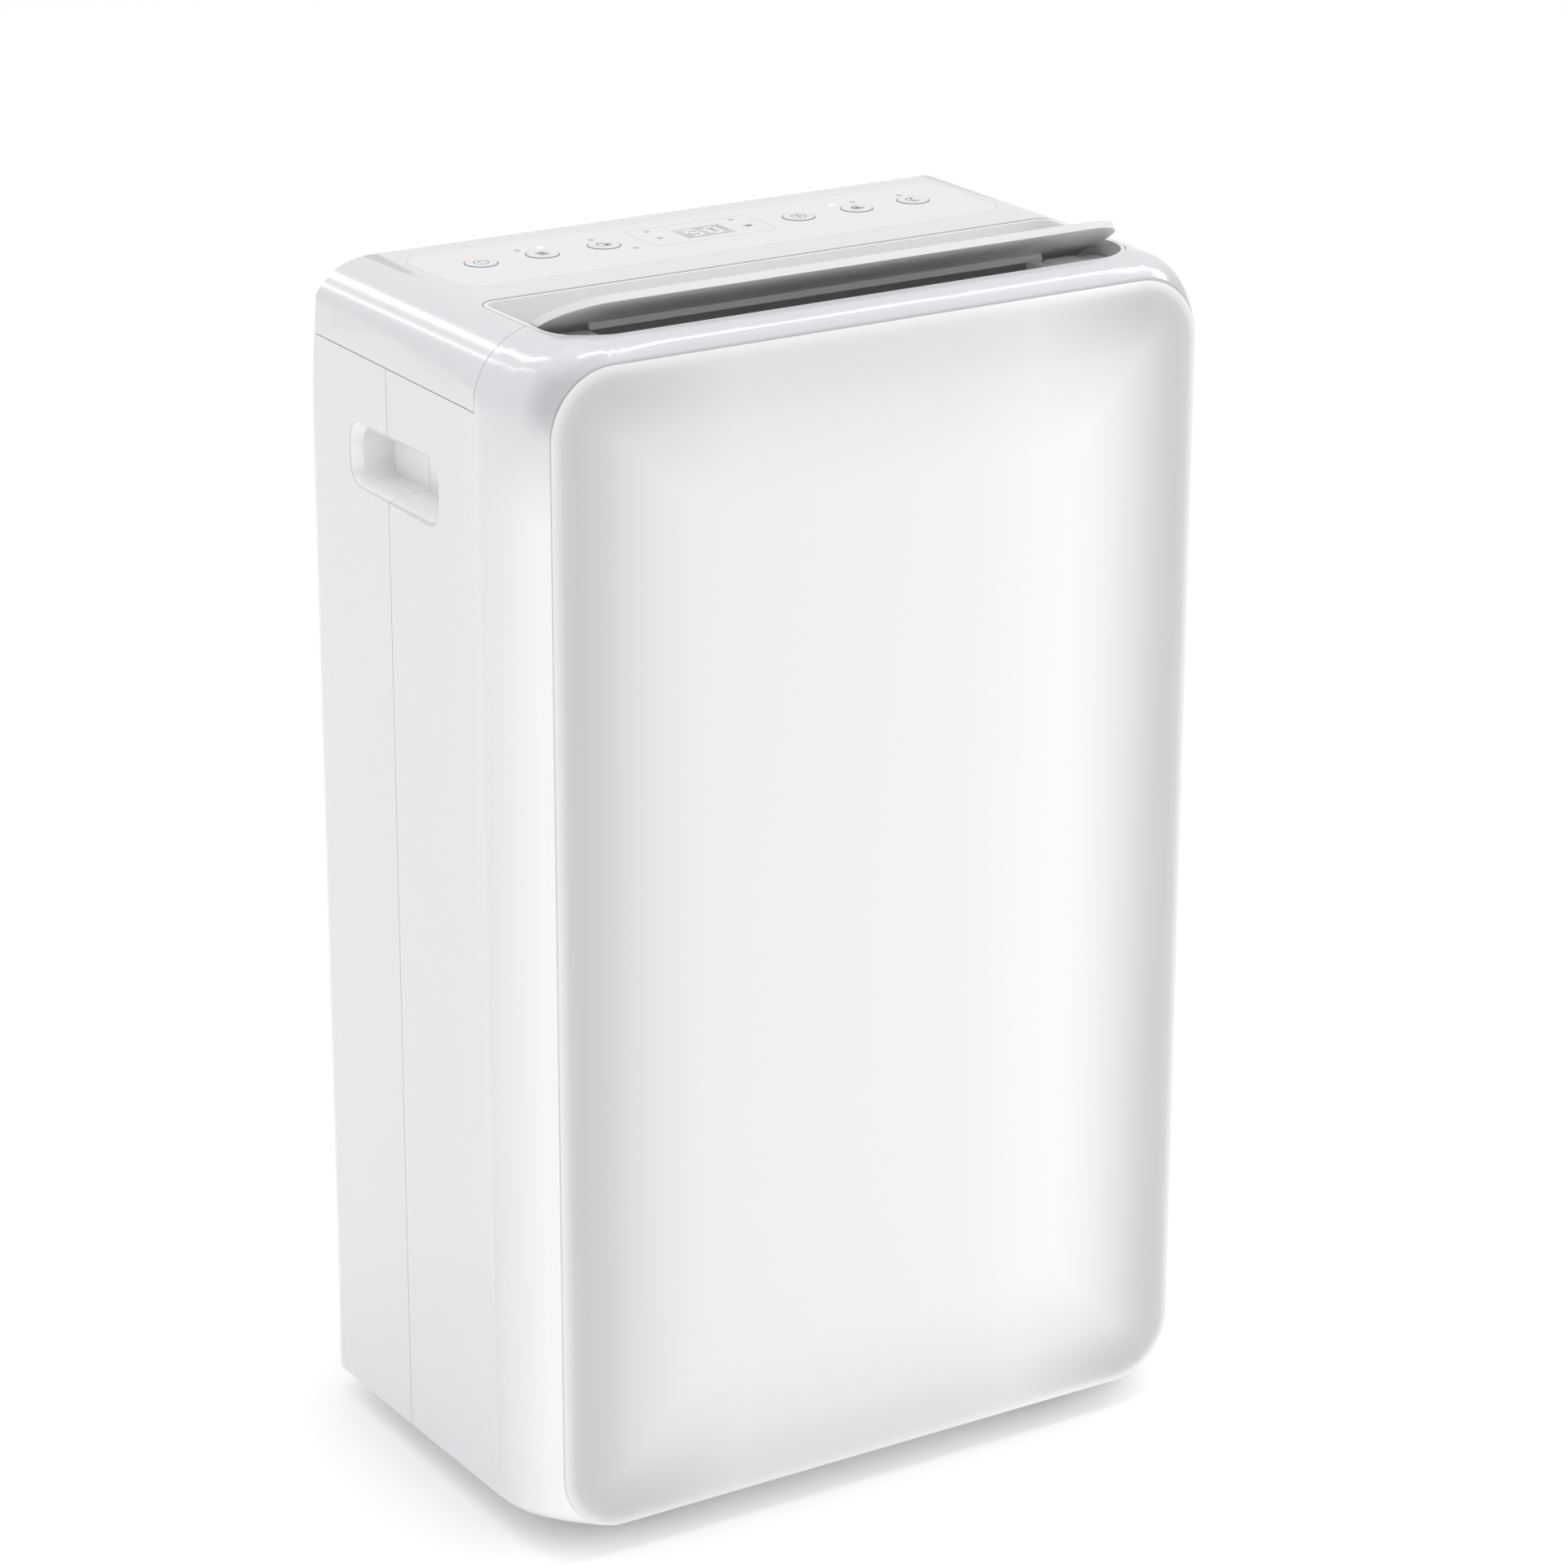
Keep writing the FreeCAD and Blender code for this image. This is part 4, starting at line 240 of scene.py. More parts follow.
def shell_plastic():
    """The casing's glossy white, with painted light making it lighter in the hand grips and on the lower front
    corners, and painted shade greying the shoulder over the panel.
    """
    base = (0.685, 0.685, 0.715)
    # painted light: the lighter tone laid into the grip recesses and the lower front corners
    painted_light_tone = (0.92, 0.92, 0.925)
    # painted shade: the grey laid on the shoulder above the panel
    grey = (0.50, 0.50, 0.53)
    grip_reach = CASE_HALF - 4.2 * MM
    grip_box = (("Y", -30 * MM, 67 * MM), ("Z", 474 * MM, 517 * MM))
    finish = Finish("shell white", base, 0.2, Coat_Weight=0.8, Coat_Roughness=0.13, Specular_IOR_Level=0.7)
    split = finish.split_place()
    in_grip = finish.math("LESS_THAN", finish.math("ABSOLUTE", split["X"]), grip_reach)
    for axis, low, high in grip_box:
        in_grip = finish.math("MULTIPLY", in_grip, finish.math("GREATER_THAN", split[axis], low))
        in_grip = finish.math("MULTIPLY", in_grip, finish.math("LESS_THAN", split[axis], high))
    # painted light mask: the grip recesses, and the front corners below the shoulder
    on_corner = finish.map_range(split["Y"], -66 * MM, -104 * MM, 0.0, 0.95)
    below_shoulder = finish.map_range(split["Z"], 550 * MM, 500 * MM)
    painted_light_mask = finish.math("MAXIMUM", in_grip, finish.math("MULTIPLY", on_corner, below_shoulder))
    # painted shade mask: the shoulder band under the top and over the panel, at the front
    under_top = finish.map_range(split["Z"], 575 * MM, 563 * MM)
    over_panel = finish.map_range(split["Z"], 538 * MM, 553 * MM)
    at_front = finish.map_range(split["Y"], -96 * MM, -106 * MM, 0.0, 0.9)
    painted_shade_mask = finish.math("MULTIPLY", finish.math("MULTIPLY", under_top, over_panel), at_front)
    toned = finish.mix_color(painted_shade_mask, finish.mix_color(painted_light_mask, base, painted_light_tone), grey)
    mottle = finish.spread_noise(finish.noise(9.0, 4.0), 0.994, 1.006)
    scaled = finish.node("ShaderNodeVectorMath", operation="SCALE")
    finish.link(toned, scaled.inputs[0]).link(mottle, scaled.inputs["Scale"])
    finish.link(scaled.outputs["Vector"], finish.shader.inputs["Base Color"])
    finish.vary_roughness(finish.noise(5.0, 1.0), 0.19, 0.21)
    finish.relief(finish.noise(220.0, 2.0), 0.002, 0.4)
    return finish.material


def rim_depth(finish, split, corner):
    """How far a place lies in from the panel's rounded outline, as metres below zero, and from its sides."""
    middle = (PANEL_LOW + PANEL_HIGH) / 2
    half = (PANEL_HIGH - PANEL_LOW) / 2
    reach = []
    for axis, place, size in (("X", middle.x, half.x), ("Z", middle.z, half.z)):
        moved = finish.math("SUBTRACT", split[axis], place)
        reach.append(finish.math("SUBTRACT", finish.math("ABSOLUTE", moved), size - corner))
    outside = [finish.math("MAXIMUM", distance, 0.0) for distance in reach]
    squares = [finish.math("MULTIPLY", distance, distance) for distance in outside]
    round_part = finish.math("SQRT", finish.math("ADD", *squares))
    flat_part = finish.math("MINIMUM", finish.math("MAXIMUM", *reach), 0.0)
    return finish.math("SUBTRACT", finish.math("ADD", round_part, flat_part), corner), reach[0]


def panel_lacquer():
    """The front panel's lacquer: white with painted shade greying softly towards the rolled-back rim, and a
    painted sheen band across it.
    """
    # painted shade: grey laid in a band inside the panel's outline, stopping short of the very edge
    painted_rim_shade = (0.57, 0.57, 0.59)
    rim_width = 72 * MM
    rim_shade_stops = ((0.0, 0.0), (0.02, 0.1), (0.07, 0.95), (0.2, 1.0), (0.45, 0.55), (1.0, 0.0))
    # painted reflection: a lighter band right of the middle and duller ends, standing in for a lamp's reflection
    sheen_across_stops = ((0.0, 0.83), (0.3, 0.87), (0.62, 0.885), (0.80, 0.99), (0.88, 0.98), (1.0, 0.85))
    finish = Finish("panel lacquer", (0.86, 0.86, 0.862), 0.30, Coat_Weight=0.35, Coat_Roughness=0.05)
    split = finish.split_place()
    depth, sideways = rim_depth(finish, split, 31 * MM)
    rim_shade = finish.ramp(finish.map_range(depth, 0.0, -rim_width), rim_shade_stops)
    near_side = finish.map_range(sideways, -60 * MM, 0.0, 0.45)
    painted_sheen_band = finish.ramp(finish.map_range(split["X"], PANEL_LOW.x, PANEL_HIGH.x), sheen_across_stops)
    toned = finish.mix_color(finish.math("MULTIPLY", rim_shade, near_side), painted_sheen_band, painted_rim_shade)
    finish.link(toned, finish.shader.inputs["Base Color"])
    finish.vary_roughness(finish.noise(5.0, 1.0), 0.29, 0.31)
    finish.relief(finish.noise(220.0, 2.0), 0.002, 0.4)
    return finish.material


FINISHES = {
    "panel_gloss": panel_lacquer(),
    "shell_gloss": shell_plastic(),
    "overlay_film": moulded("overlay film", (0.74, 0.74, 0.75), 0.22, coat=0.2, spread=0.006),
    "display_clear": moulded("display window", (0.50, 0.50, 0.51), 0.12, coat=0.6),
    "led_clear": moulded("unlit lens", (0.42, 0.43, 0.46), 0.25),
    "button_satin": moulded("button satin", (0.72, 0.72, 0.745), 0.28, coat=0.2),
    "pale_grey_plastic": moulded("liner pale grey", (0.80, 0.80, 0.80), 0.34, 0.01),
    "dark_duct_plastic": moulded("duct grey", (0.50, 0.50, 0.505), 0.5, 0.02, spread=0.04),
    "black_plastic": moulded("castor black", (0.012, 0.012, 0.013), 0.42, 0.02, spread=0.1),
    "wheel_black": moulded("wheel black", (0.010, 0.010, 0.011), 0.5, 0.03, spread=0.15),
    "black_rubber": moulded("rubber black", (0.014, 0.014, 0.014), 0.7, 0.03, spread=0.15),
    "inner_white_plastic": moulded("inner white", (0.66, 0.66, 0.65), 0.4, 0.015, spread=0.03),
    "base_plastic": moulded("base grey", (0.58, 0.58, 0.59), 0.45, 0.03, spread=0.03),
    "tank_plastic": moulded("tank plastic", (0.60, 0.62, 0.66), 0.18, coat=0.3, spread=0.015),
    "lid_plastic": moulded("lid white", (0.72, 0.72, 0.72), 0.4, 0.015),
    "float_white": moulded("float foam", (0.78, 0.78, 0.76), 0.8, 0.06, spread=0.05),
    "filter_grey": moulded("filter frame", (0.16, 0.165, 0.175), 0.45, 0.02, spread=0.05),
    "filter_net": net("filter net", (0.09, 0.095, 0.1), 1.4),
    "circuit_board": moulded("board green", (0.02, 0.13, 0.05), 0.35, 0.01, spread=0.2),
    "motor_steel": metal("plated steel", (0.60, 0.60, 0.61), 0.34),
    "bright_steel": metal("bright steel", (0.72, 0.72, 0.73), 0.22),
    "coil_aluminium": metal("fin aluminium", (0.78, 0.79, 0.80), 0.36, (1.0, 1.0, 20.0)),
    "copper": metal("copper tube", (0.80, 0.42, 0.27), 0.28),
    "black_enamel": moulded("compressor enamel", (0.015, 0.015, 0.016), 0.22, 0.02, coat=0.4, spread=0.15),
}
INK = moulded("printed grey", (0.20, 0.20, 0.22), 0.4)
FAINT_INK = moulded("printed pale grey", (0.52, 0.52, 0.55), 0.4)
# painted light: the outlet's end fittings in a whiter copy of the liner's pale grey, lighter than the shade in the
# pockets would leave them
POCKET_PAINTED_LIGHT = moulded("outlet end white", (0.93, 0.93, 0.93), 0.3, coat=0.3)
RING = metal("button ring chrome", (0.12, 0.12, 0.13), 0.2)
SEGMENT = moulded("display segment", (0.90, 0.90, 0.90), 0.4)
LIT_RED = glow("lit red lens", (1.0, 0.32, 0.26), 1.1)
LIT_WHITE = glow("lit white lens", (1.0, 1.0, 1.0), 1.6)


# ----------------------------------------------------------------------------------------------
# Making pieces
# ----------------------------------------------------------------------------------------------

def add_piece(name, mesh, material, body, stands_for=()):
    """Put a finished mesh into the scene as a piece that rides a body."""
    piece = bpy.data.objects.new(name, mesh)
    bpy.context.scene.collection.objects.link(piece)
    mesh.materials.clear()
    mesh.materials.append(material)
    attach(piece, body)
    if stands_for:
        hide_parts(*stands_for)
    return piece


def smooth(mesh, degrees=32.0):
    """Smooth shading that keeps edges sharper than an angle."""
    mesh.shade_smooth()
    mesh.set_sharp_from_angle(angle=math.radians(degrees))


def eased(node, width_mm=0.0, degrees=32.0):
    """A CAD node's own shape as a merged, smooth-shaded piece with its sharp edges eased."""
    mesh = nodes[node].data.copy()
    mesh.name = node + "_skin"
    seam = 0.002 * MM
    work = bmesh.new()
    work.from_mesh(mesh)
    bmesh.ops.remove_doubles(work, verts=work.verts, dist=seam)
    work.to_mesh(mesh)
    work.free()
    if mesh.has_custom_normals:
        mesh.attributes.remove(mesh.attributes["custom_normal"])
    smooth(mesh, degrees)
    slot = slot_of[node]
    piece = add_piece(node + "_skin", mesh, FINISHES[slot], body_of[node], (node,))
    if width_mm:
        bevel = piece.modifiers.new("eased edges", "BEVEL")
        bevel.width = width_mm * MM
        bevel.segments = 2
        bevel.limit_method = "ANGLE"
        bevel.angle_limit = math.radians(degrees + 3)
        bevel.use_clamp_overlap = True
    weighted = piece.modifiers.new("even shading", "WEIGHTED_NORMAL")
    weighted.keep_sharp = True
    weighted.mode = "FACE_AREA_WITH_ANGLE"
    weighted.weight = 50
    return piece


def to_mesh(work, name):
    """Turn a bmesh into a mesh, normals outward."""
    bmesh.ops.recalc_face_normals(work, faces=work.faces)
    mesh = bpy.data.meshes.new(name)
    work.to_mesh(mesh)
    work.free()
    return mesh


def block(work, low, high):
    """A plain box between two corners, as its corner points."""
    made = bmesh.ops.create_cube(work, size=1.0)["verts"]
    bmesh.ops.scale(work, verts=made, vec=high - low)
    bmesh.ops.translate(work, verts=made, vec=(low + high) / 2)
    return made


def round_off(work, edges, radius, segments):
    """Round some edges to a radius."""
    bmesh.ops.bevel(work, geom=list(edges), offset=radius, affect="EDGES", segments=segments,
                    profile=0.5, material=-1)


def rounded_slab(work, low, high, radius, segments=6, ease=0.0):
    """A box between two corners with its upright edges rounded, and its upper rim eased."""
    made = block(work, low, high)
    tall = high.z - low.z
    edges = {edge for vert in made for edge in vert.link_edges}
    if radius:
        upright = {edge for edge in edges if abs(edge.verts[0].co.z - edge.verts[1].co.z) > tall / 2}
        round_off(work, upright, radius, segments)
    if ease:
        level = [face for face in work.faces if abs(face.normal.z) > 0.9]
        top = [face for face in level if abs(face.calc_center_median().z - high.z) < 1e-6]
        round_off(work, {edge for face in top for edge in face.edges}, ease, 2)


def domed_disc(name, place, radius, rise, segments, rings):
    """A round cap raised from a place, stepped inward ring by ring, each with its width and lift in mm."""
    work = bmesh.new()
    disc = bmesh.ops.create_circle(work, cap_ends=True, segments=segments, radius=radius)["verts"]
    bmesh.ops.translate(work, verts=disc, vec=place)
    grown = bmesh.ops.extrude_face_region(work, geom=work.faces[:])["geom"]
    raised = [item for item in grown if isinstance(item, bmesh.types.BMVert)]
    bmesh.ops.translate(work, verts=raised, vec=(0, 0, rise))
    cap = [item for item in grown if isinstance(item, bmesh.types.BMFace)]
    for width, lift in rings:
        bmesh.ops.inset_region(work, faces=cap, thickness=width * MM, depth=lift * MM)
    mesh = to_mesh(work, name)
    smooth(mesh, 40)
    return mesh


def strokes(name, lines, radius_mm, level, flat=0.25, closed=False):
    """Thin raised lines on a level face: round wire along each line of points, pressed flat."""
    curve = bpy.data.curves.new(name, "CURVE")
    curve.dimensions = "3D"
    curve.bevel_depth = radius_mm * MM
    curve.bevel_resolution = 2
    curve.use_fill_caps = True
    for line in lines:
        spline = curve.splines.new("POLY")
        spline.points.add(len(line) - 1)
        for point, (x, y) in zip(spline.points, line):
            point.co = (x, y, 0.0, 1.0)
        spline.use_cyclic_u = closed
    holder = bpy.data.objects.new(name + "_path", curve)
    bpy.context.scene.collection.objects.link(holder)
    mesh = bpy.data.meshes.new_from_object(holder.evaluated_get(bpy.context.evaluated_depsgraph_get()))
    bpy.data.objects.remove(holder)
    mesh.transform(Matrix.Translation((0, 0, level)) @ Matrix.Diagonal((1, 1, flat, 1)))
    mesh.shade_smooth()
    return mesh


def arc(x, y, radius, start, end, steps=24):
    """Points along an arc, in degrees anticlockwise."""
    points = []
    for step in range(steps + 1):
        angle = math.radians(start + (end - start) * step / steps)
        points.append((x + radius * math.cos(angle), y + radius * math.sin(angle)))
    return points


def rounded_outline(low_x, high_x, low_y, high_y, radius):
    """A closed rounded rectangle as points."""
    line = arc(high_x - radius, low_y + radius, radius, -90, 0, 8)
    line += arc(high_x - radius, high_y - radius, radius, 0, 90, 8)
    line += arc(low_x + radius, high_y - radius, radius, 90, 180, 8)
    line += arc(low_x + radius, low_y + radius, radius, 180, 270, 8)
    return line


# ----------------------------------------------------------------------------------------------
# Casing, grille, tank and other shapes kept from the frame
# ----------------------------------------------------------------------------------------------

# How far, in mm, each node's sharp edges are eased; with 0.0 it is only shaded smooth.
EASED = {
    "front_panel": 0.0, "front_shell": 0.25, "rear_shell": 0.25, "top_cover": 0.25, "control_overlay": 0.0,
    "louver_vane": 0.6, "louver_liner": 0.4, "louver_motor": 0.5, "outlet_duct": 0.3, "rear_grille": 0.3,
    "water_tank": 0.6, "tank_lid": 0.5, "base_tray": 0.4, "compressor": 0.0, "filter_frame": 0.3,
}


def dress_frame():
    """Give every CAD node its finish, and the ones that show an eased copy."""
    for node, thing in nodes.items():
        finish = FINISHES[slot_of[node]]
        thing.data.materials.clear()
        thing.data.materials.append(finish)
        if node in EASED:
            eased(node, EASED[node])


# ----------------------------------------------------------------------------------------------
# Inside the air outlet
# ----------------------------------------------------------------------------------------------

def add_fitting(name, work, smoothed=True):
    """Put a fitting into one of the outlet's two end pockets, in a white lighter than the liner's grey as painted
    light.
    """
    mesh = to_mesh(work, name)
    if smoothed:
        smooth(mesh)
    add_piece(name, mesh, POCKET_PAINTED_LIGHT, "casing")


def add_eased_block(name, low, high, radius):
    """A fitting that is a box with every edge rounded."""
    work = bmesh.new()
    made = block(work, low, high)
    round_off(work, {edge for vert in made for edge in vert.link_edges}, radius, 4)
    add_fitting(name, work)


def add_rounded_tray(name, low, high, ease):
    """A fitting that is a low box with rounded corners and an eased rim."""
    work = bmesh.new()
    rounded_slab(work, low, high, 7 * MM, 6, ease)
    add_fitting(name, work)


def dress_outlet():
    """Pockets at the two ends of the outlet: divider cap, gusset, hinge block, end tray and motor hood."""
    liner_low = Vector(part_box("louver_liner")[0])
    floor = liner_low.z + 2.5 * MM
    front = liner_low.y + 4 * MM
    rear = HINGE_LINE.y - 3 * MM
    crest = HINGE_LINE.z - 2.6 * MM
    add_eased_block("outlet_divider_cap", Vector((111 * MM, front, floor)),
                    Vector((117 * MM, rear, crest)), 0.8 * MM)
    work = bmesh.new()
    block(work, Vector((87.5 * MM, front + 3 * MM, floor)), Vector((111.5 * MM, rear - 3 * MM, crest - 10 * MM)))
    cut_from = Vector((88 * MM, rear, floor + 6 * MM))
    slope = Vector((-0.75, 0, 0.66)).normalized()
    whole = work.verts[:] + work.edges[:] + work.faces[:]
    cut = bmesh.ops.bisect_plane(work, geom=whole, plane_co=cut_from, plane_no=slope, clear_outer=True)
    rim = [item for item in cut["geom_cut"] if isinstance(item, bmesh.types.BMEdge)]
    bmesh.ops.contextual_create(work, geom=rim)
    add_fitting("outlet_gusset", work, smoothed=False)
    add_eased_block("outlet_hinge_block", Vector((118 * MM, front + 1 * MM, floor)),
                    Vector((138 * MM, rear, crest)), 4 * MM)
    add_rounded_tray("outlet_end_tray", Vector((134 * MM, front + 12 * MM, crest - 8 * MM)),
                     Vector((150.5 * MM, rear, crest - 1.5 * MM)), 1.2 * MM)
    add_rounded_tray("outlet_motor_hood", Vector((-149 * MM, front + 13 * MM, crest - 10 * MM)),
                     Vector((-122 * MM, rear, crest)), 1.5 * MM)


# ----------------------------------------------------------------------------------------------
# Control panel
# ----------------------------------------------------------------------------------------------

def symbol_lines(kind, x, y):
    """Lines of a plain symbol round a centre, in metres."""
    r = 3.5 * MM
    if kind == "power":
        return [arc(x, y, r, 120, 420), [(x, y + r * 0.25), (x, y + r * 1.25)]]
    if kind == "mode":
        sway = 0.55 * MM
        waves = []
        for offset in (-1.6, 0.0, 1.6):
            middle = x + offset * MM
            waves.append([(middle + math.sin(step / 4) * sway, y + (step - 12) / 12 * r) for step in range(25)])
        return waves
    if kind == "humidity":
        drop_x = x - 0.9 * MM
        tip = (drop_x, y + r * 1.2)
        drop = [tip] + arc(drop_x, y - r * 0.15, r * 0.75, 150, 390) + [tip]
        return [drop, arc(x + 1.9 * MM, y - r * 0.2, r * 0.38, 0, 360)]
    if kind == "timer":
        return [arc(x, y, r, 0, 360), [(x, y + r * 0.6), (x, y), (x + r * 0.45, y)]]
    if kind == "fan":
        blades = []
        for turn in (90, 210, 330):
            blade_x = x + r * 0.55 * math.cos(math.radians(turn))
            blade_y = y + r * 0.55 * math.sin(math.radians(turn))
            blades.append(arc(blade_x, blade_y, r * 0.4, 0, 360, 14))
        return blades
    moon = arc(x, y, r, 60, 300) + list(reversed(arc(x + r * 0.75, y, r * 0.95, 114, 246)))
    return [moon + [moon[0]]]


def dress_buttons():
    """Each button's cap with its crown, printed symbol and dark surround."""
    cap_radius = 7.5 * MM
    cap_depth = 6.0 * MM
    cap_rise = 5.6 * MM
    print_depth = 0.26 * MM
    crown = ((0.35, 0.25), (0.6, 0.1), (2.0, -0.1), (3.0, -0.16))
    for node in sorted(nodes):
        if not node.startswith("button_"):
            continue
        kind = node.replace("button_", "")
        body, slot = body_of[node], slot_of[node]
        middle = centre(node)
        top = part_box(node)[1][2]
        foot = (middle.x, middle.y, top - cap_depth)
        cap = domed_disc(node + "_cap", foot, cap_radius, cap_rise, 56, crown)
        add_piece(node + "_cap", cap, FINISHES["button_satin"], body, (node,))
        symbol = symbol_lines(kind, middle.x, middle.y)
        symbol_mesh = strokes(node + "_symbol", symbol, 0.34, top - print_depth, 0.4)
        add_piece(node + "_symbol", symbol_mesh, INK, body)
        ring = [arc(middle.x, middle.y, cap_radius + 0.22 * MM, 0, 352.5, 47)]
        ring_mesh = strokes(node + "_surround", ring, 0.26, OVERLAY_TOP, 0.7, True)
        add_piece(node + "_surround", ring_mesh, RING, "casing")


def light_spots():
    """Middle of each indicator light, left to right, from the loose parts of the lens node."""
    lens_reach = 4 * MM
    lenses = {}
    for vert in nodes["led_lenses"].data.vertices:
        place = vert.co.xy.copy()
        near = [first for first in lenses if (Vector(first) - place).length < lens_reach]
        lenses.setdefault(near[0] if near else tuple(place), []).append(place)
    middles = []
    for places in lenses.values():
        xs = [place.x for place in places]
        ys = [place.y for place in places]
        middles.append(((min(xs) + max(xs)) / 2, (min(ys) + max(ys)) / 2))
    return sorted(middles)


def dress_lights():
    """A domed lens over each indicator, with the lit ones glowing."""
    lit = {0: LIT_RED, 2: LIT_WHITE, 7: LIT_WHITE}
    lens_radius = 1.45 * MM
    dome = ((0.3, 0.08), (0.6, 0.06))
    for index, (x, y) in enumerate(light_spots()):
        name = f"light_lens_{index}"
        lens = domed_disc(name, (x, y, OVERLAY_TOP - 4 * MM), lens_radius, 3.95 * MM, 28, dome)
        stands_for = ("led_lenses",) if index == 0 else ()
        add_piece(name, lens, lit.get(index, FINISHES["led_clear"]), "casing", stands_for)


def digit(work, lit, x, y, wide, tall):
    """One seven-segment digit: a raised flat bar for each lit segment, a to g."""
    bar = 1.5 * MM
    half_w, half_t = wide / 2, tall / 2
    bars = {
        "a": (x, y + half_t, wide, bar), "g": (x, y, wide, bar), "d": (x, y - half_t, wide, bar),
        "f": (x - half_w, y + half_t / 2, bar, half_t), "b": (x + half_w, y + half_t / 2, bar, half_t),
        "e": (x - half_w, y - half_t / 2, bar, half_t), "c": (x + half_w, y - half_t / 2, bar, half_t),
    }
    for key in lit:
        bar_x, bar_y, bar_wide, bar_tall = bars[key]
        low = Vector((bar_x - bar_wide / 2, bar_y - bar_tall / 2, OVERLAY_TOP - 0.3 * MM))
        high = Vector((bar_x + bar_wide / 2, bar_y + bar_tall / 2, OVERLAY_TOP + 0.06 * MM))
        rounded_slab(work, low, high, 0.2 * MM, 2)


def frost_lines(x, y):
    """A small star of three crossing lines."""
    reach = 1.9 * MM
    lines = []
    for turn in (0, 60, 120):
        along_x = reach * math.cos(math.radians(turn))
        along_y = reach * math.sin(math.radians(turn))
        lines.append([(x - along_x, y - along_y), (x + along_x, y + along_y)])
    return lines


def bucket_lines(x, y):
    """A small bucket, filled with level lines."""
    rim, foot = 2.2 * MM, 1.6 * MM
    top, bottom = y + 1.6 * MM, y - 1.8 * MM
    lines = [[(x - rim, top), (x - foot, bottom), (x + foot, bottom), (x + rim, top)]]
    for step in range(5):
        half = foot - step * 0.1 * MM
        level = y - 0.5 * MM * step + 0.6 * MM
        lines.append([(x - half, level), (x + half, level)])
    return lines


def dress_display():
    """The display: window, two light digits, its frame line and the small marks beside it."""
    low, high = (Vector(corner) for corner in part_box("display_window"))
    work = bmesh.new()
    rounded_slab(work, low, high, 1.2 * MM, 4, 0.08 * MM)
    mesh = to_mesh(work, "display_pane")
    smooth(mesh)
    add_piece("display_pane", mesh, FINISHES["display_clear"], "casing", ("display_window",))
    middle = (low + high) / 2
    five, zero = "afgcd", "abcdef"
    work = bmesh.new()
    for lit, offset in ((five, -5.2 * MM), (zero, 5.2 * MM)):
        digit(work, lit, middle.x + offset, middle.y, 5.6 * MM, 10.4 * MM)
    add_piece("display_digits", to_mesh(work, "display_digits"), SEGMENT, "casing")
    outline = [rounded_outline(-33 * MM, 33 * MM, middle.y - 14 * MM, middle.y + 18 * MM, 4 * MM)]
    frame_line = strokes("display_frame_line", outline, 0.16, OVERLAY_TOP, 0.3, True)
    add_piece("display_frame_line", frame_line, FAINT_INK, "casing")
    mark_x, mark_y = 24 * MM, middle.y - 0.5 * MM
    marks = frost_lines(-mark_x, mark_y) + bucket_lines(mark_x, mark_y)
    marks_mesh = strokes("display_marks", marks, 0.2, OVERLAY_TOP, 0.3)
    add_piece("display_marks", marks_mesh, INK, "casing")


# ----------------------------------------------------------------------------------------------
# Stage, light and camera
# ----------------------------------------------------------------------------------------------

def lay_floor():
    """A wide pale floor."""
    work = bmesh.new()
    bmesh.ops.create_grid(work, x_segments=2, y_segments=2, size=12.0)
    mesh = to_mesh(work, "studio_floor")
    floor = bpy.data.objects.new("studio_floor", mesh)
    bpy.context.scene.collection.objects.link(floor)
    finish = Finish("floor white", (0.97, 0.97, 0.97), 0.65)
    finish.shader.inputs["Specular IOR Level"].default_value = 0.1
    finish.shader.inputs["Emission Color"].default_value = (1.0, 1.0, 1.0, 1.0)
    finish.shader.inputs["Emission Strength"].default_value = 0.14
    mesh.materials.append(finish.material)


def soft_box(name, spot, aim, along, wide, tall, radiance):
    """A rectangular lamp at a spot, facing a point, with its long side along a direction."""
    data = bpy.data.lights.new(name, "AREA")
    data.shape = "RECTANGLE"
    data.size = wide
    data.size_y = tall
    data.energy = radiance * math.pi * wide * tall
    lamp = bpy.data.objects.new(name, data)
    bpy.context.scene.collection.objects.link(lamp)
    back = (Vector(spot) - Vector(aim)).normalized()
    side = (Vector(along) - back * back.dot(Vector(along))).normalized()
    turn = Matrix((side, back.cross(side), back)).transposed().to_4x4()
    lamp.matrix_world = Matrix.Translation(spot) @ turn


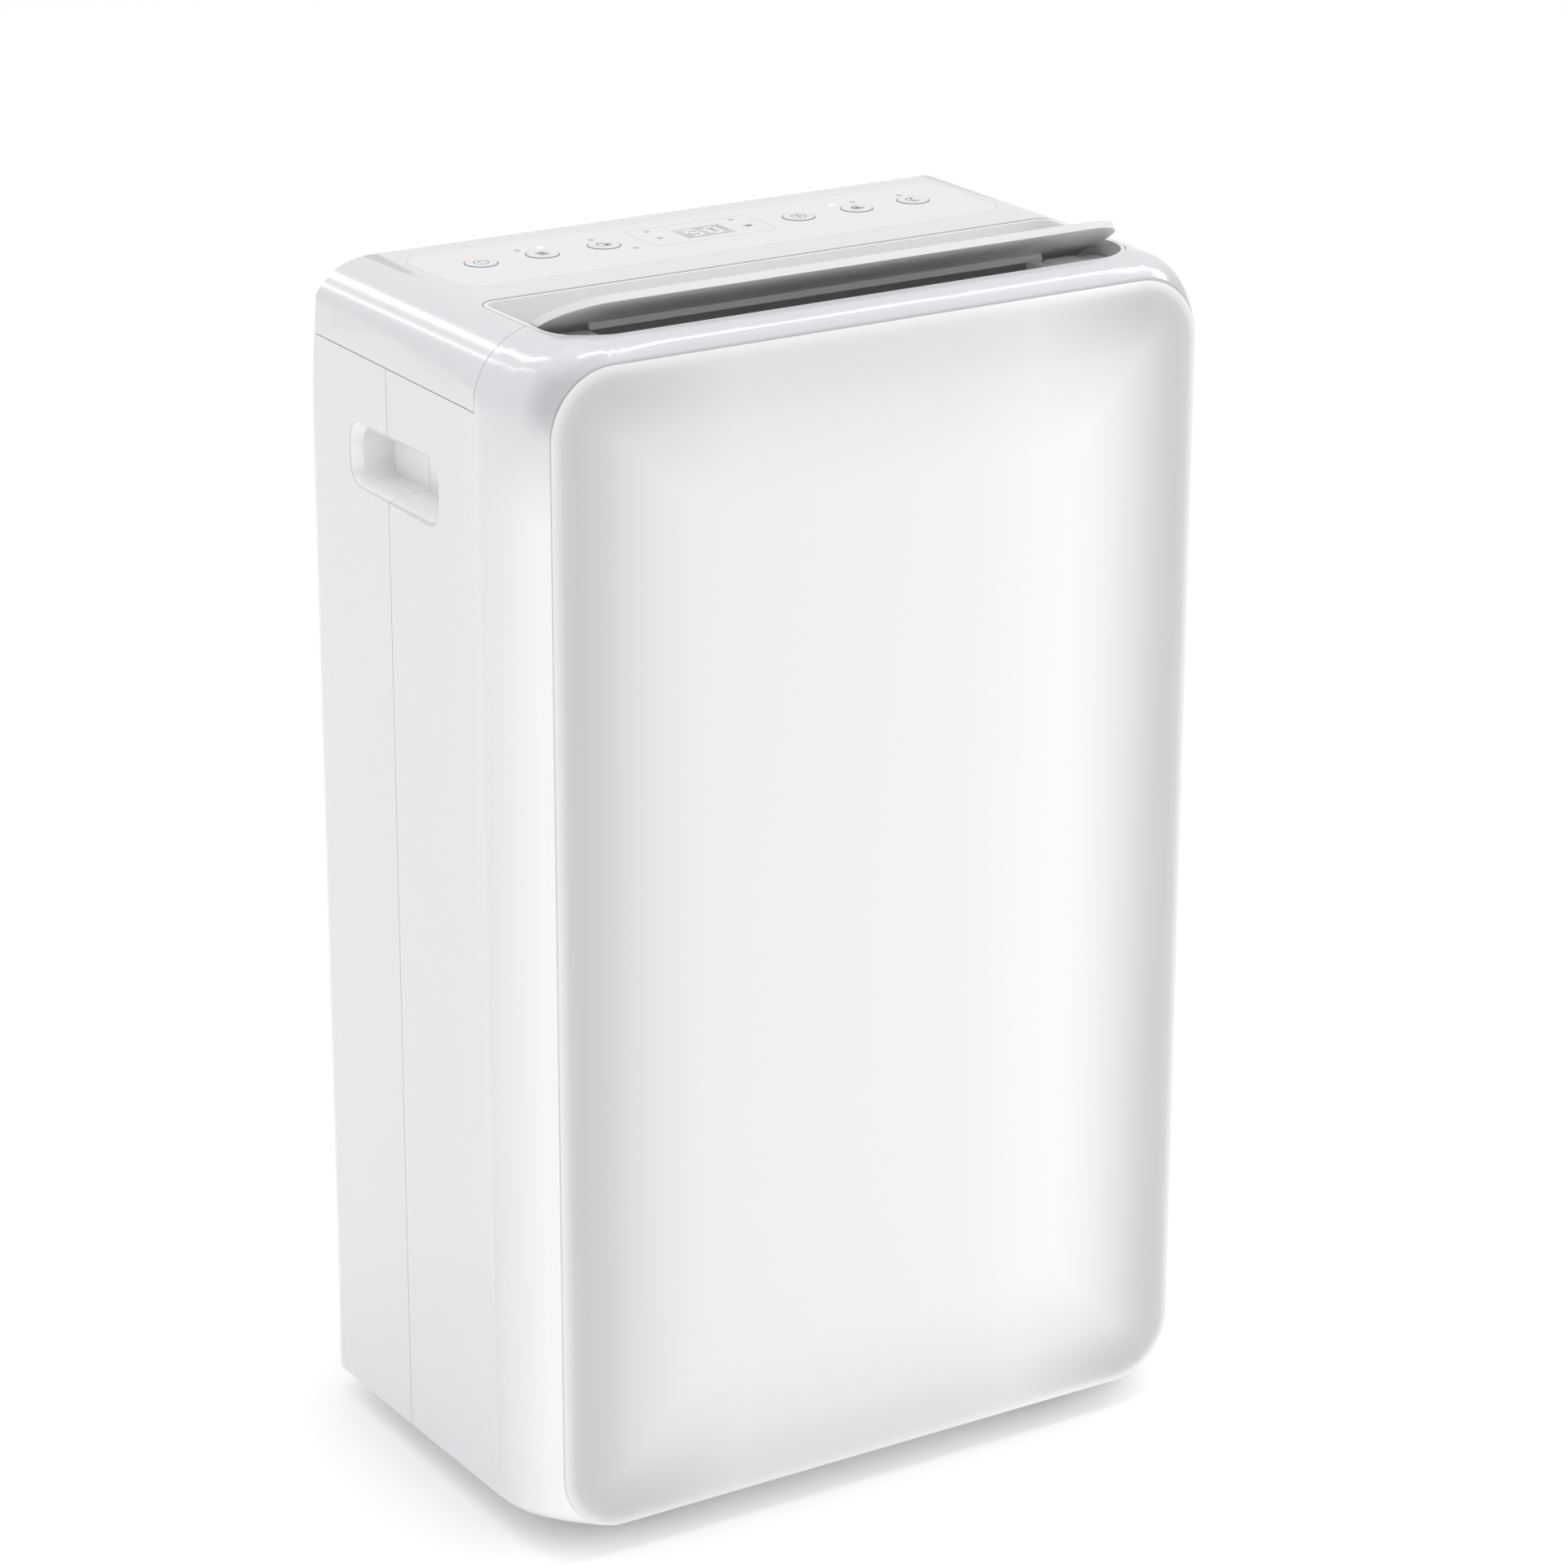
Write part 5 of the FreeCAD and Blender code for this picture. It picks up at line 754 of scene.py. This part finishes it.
def light_studio():
    """A white room, with long boxes whose reflections run along the front and left shoulders."""
    world = bpy.data.worlds.new("studio")
    bpy.context.scene.world = world
    world.use_nodes = True
    background = world.node_tree.nodes["Background"]
    background.inputs["Color"].default_value = (1.0, 1.0, 1.0, 1.0)
    background.inputs["Strength"].default_value = 0.84
    shoulder = (0.0, PANEL_LOW.y, PANEL_HIGH.z)
    left = (-0.17, 0.0, PANEL_HIGH.z)
    soft_box("box_front_high", (1.3, -0.35, 2.65), shoulder, (1, 0, 0), 3.6, 0.3, 4.6)
    soft_box("box_front_low", (1.3, -1.5, 2.15), shoulder, (1, 0, 0), 3.6, 0.05, 2.6)
    soft_box("box_left_high", (-0.65, 2.2, 1.8), left, (0, 1, 0), 3.2, 0.2, 3.4)
    soft_box("box_left_low", (-1.0, 2.2, 1.5), left, (0, 1, 0), 3.2, 0.1, 3.0)
    soft_box("box_above", (-0.6, 0.2, 3.0), (0.0, 0.0, 0.3), (1, 0, 0), 2.2, 2.2, 0.5)


def set_camera():
    """Long lens from the front left, a little above."""
    panel_heights_away = Vector((-2.17609, -3.29442, 2.03059))
    yaw, pitch, roll = math.radians(32.277), math.radians(19.801), math.radians(0.134)
    data = bpy.data.cameras.new("view")
    data.sensor_width = 36.0
    data.lens = 117.3
    data.clip_end = 60.0
    camera = bpy.data.objects.new("view", data)
    bpy.context.scene.collection.objects.link(camera)
    level = Matrix.Rotation(math.pi / 2 - pitch, 4, "X")
    turn = Matrix.Rotation(-yaw, 4, "Z") @ level @ Matrix.Rotation(roll, 4, "Z")
    panel_foot = Vector((0.0, PANEL_HIGH.y - 1.0 * MM, PANEL_LOW.z))
    eye = panel_foot + (PANEL_HIGH.z - PANEL_LOW.z) * panel_heights_away
    camera.matrix_world = Matrix.Translation(eye) @ turn
    bpy.context.scene.camera = camera


bpy.context.scene.view_settings.view_transform = "Standard"
dress_frame()
dress_outlet()
dress_buttons()
dress_lights()
dress_display()
lay_floor()
light_studio()
set_camera()

bpy.context.view_layer.update()
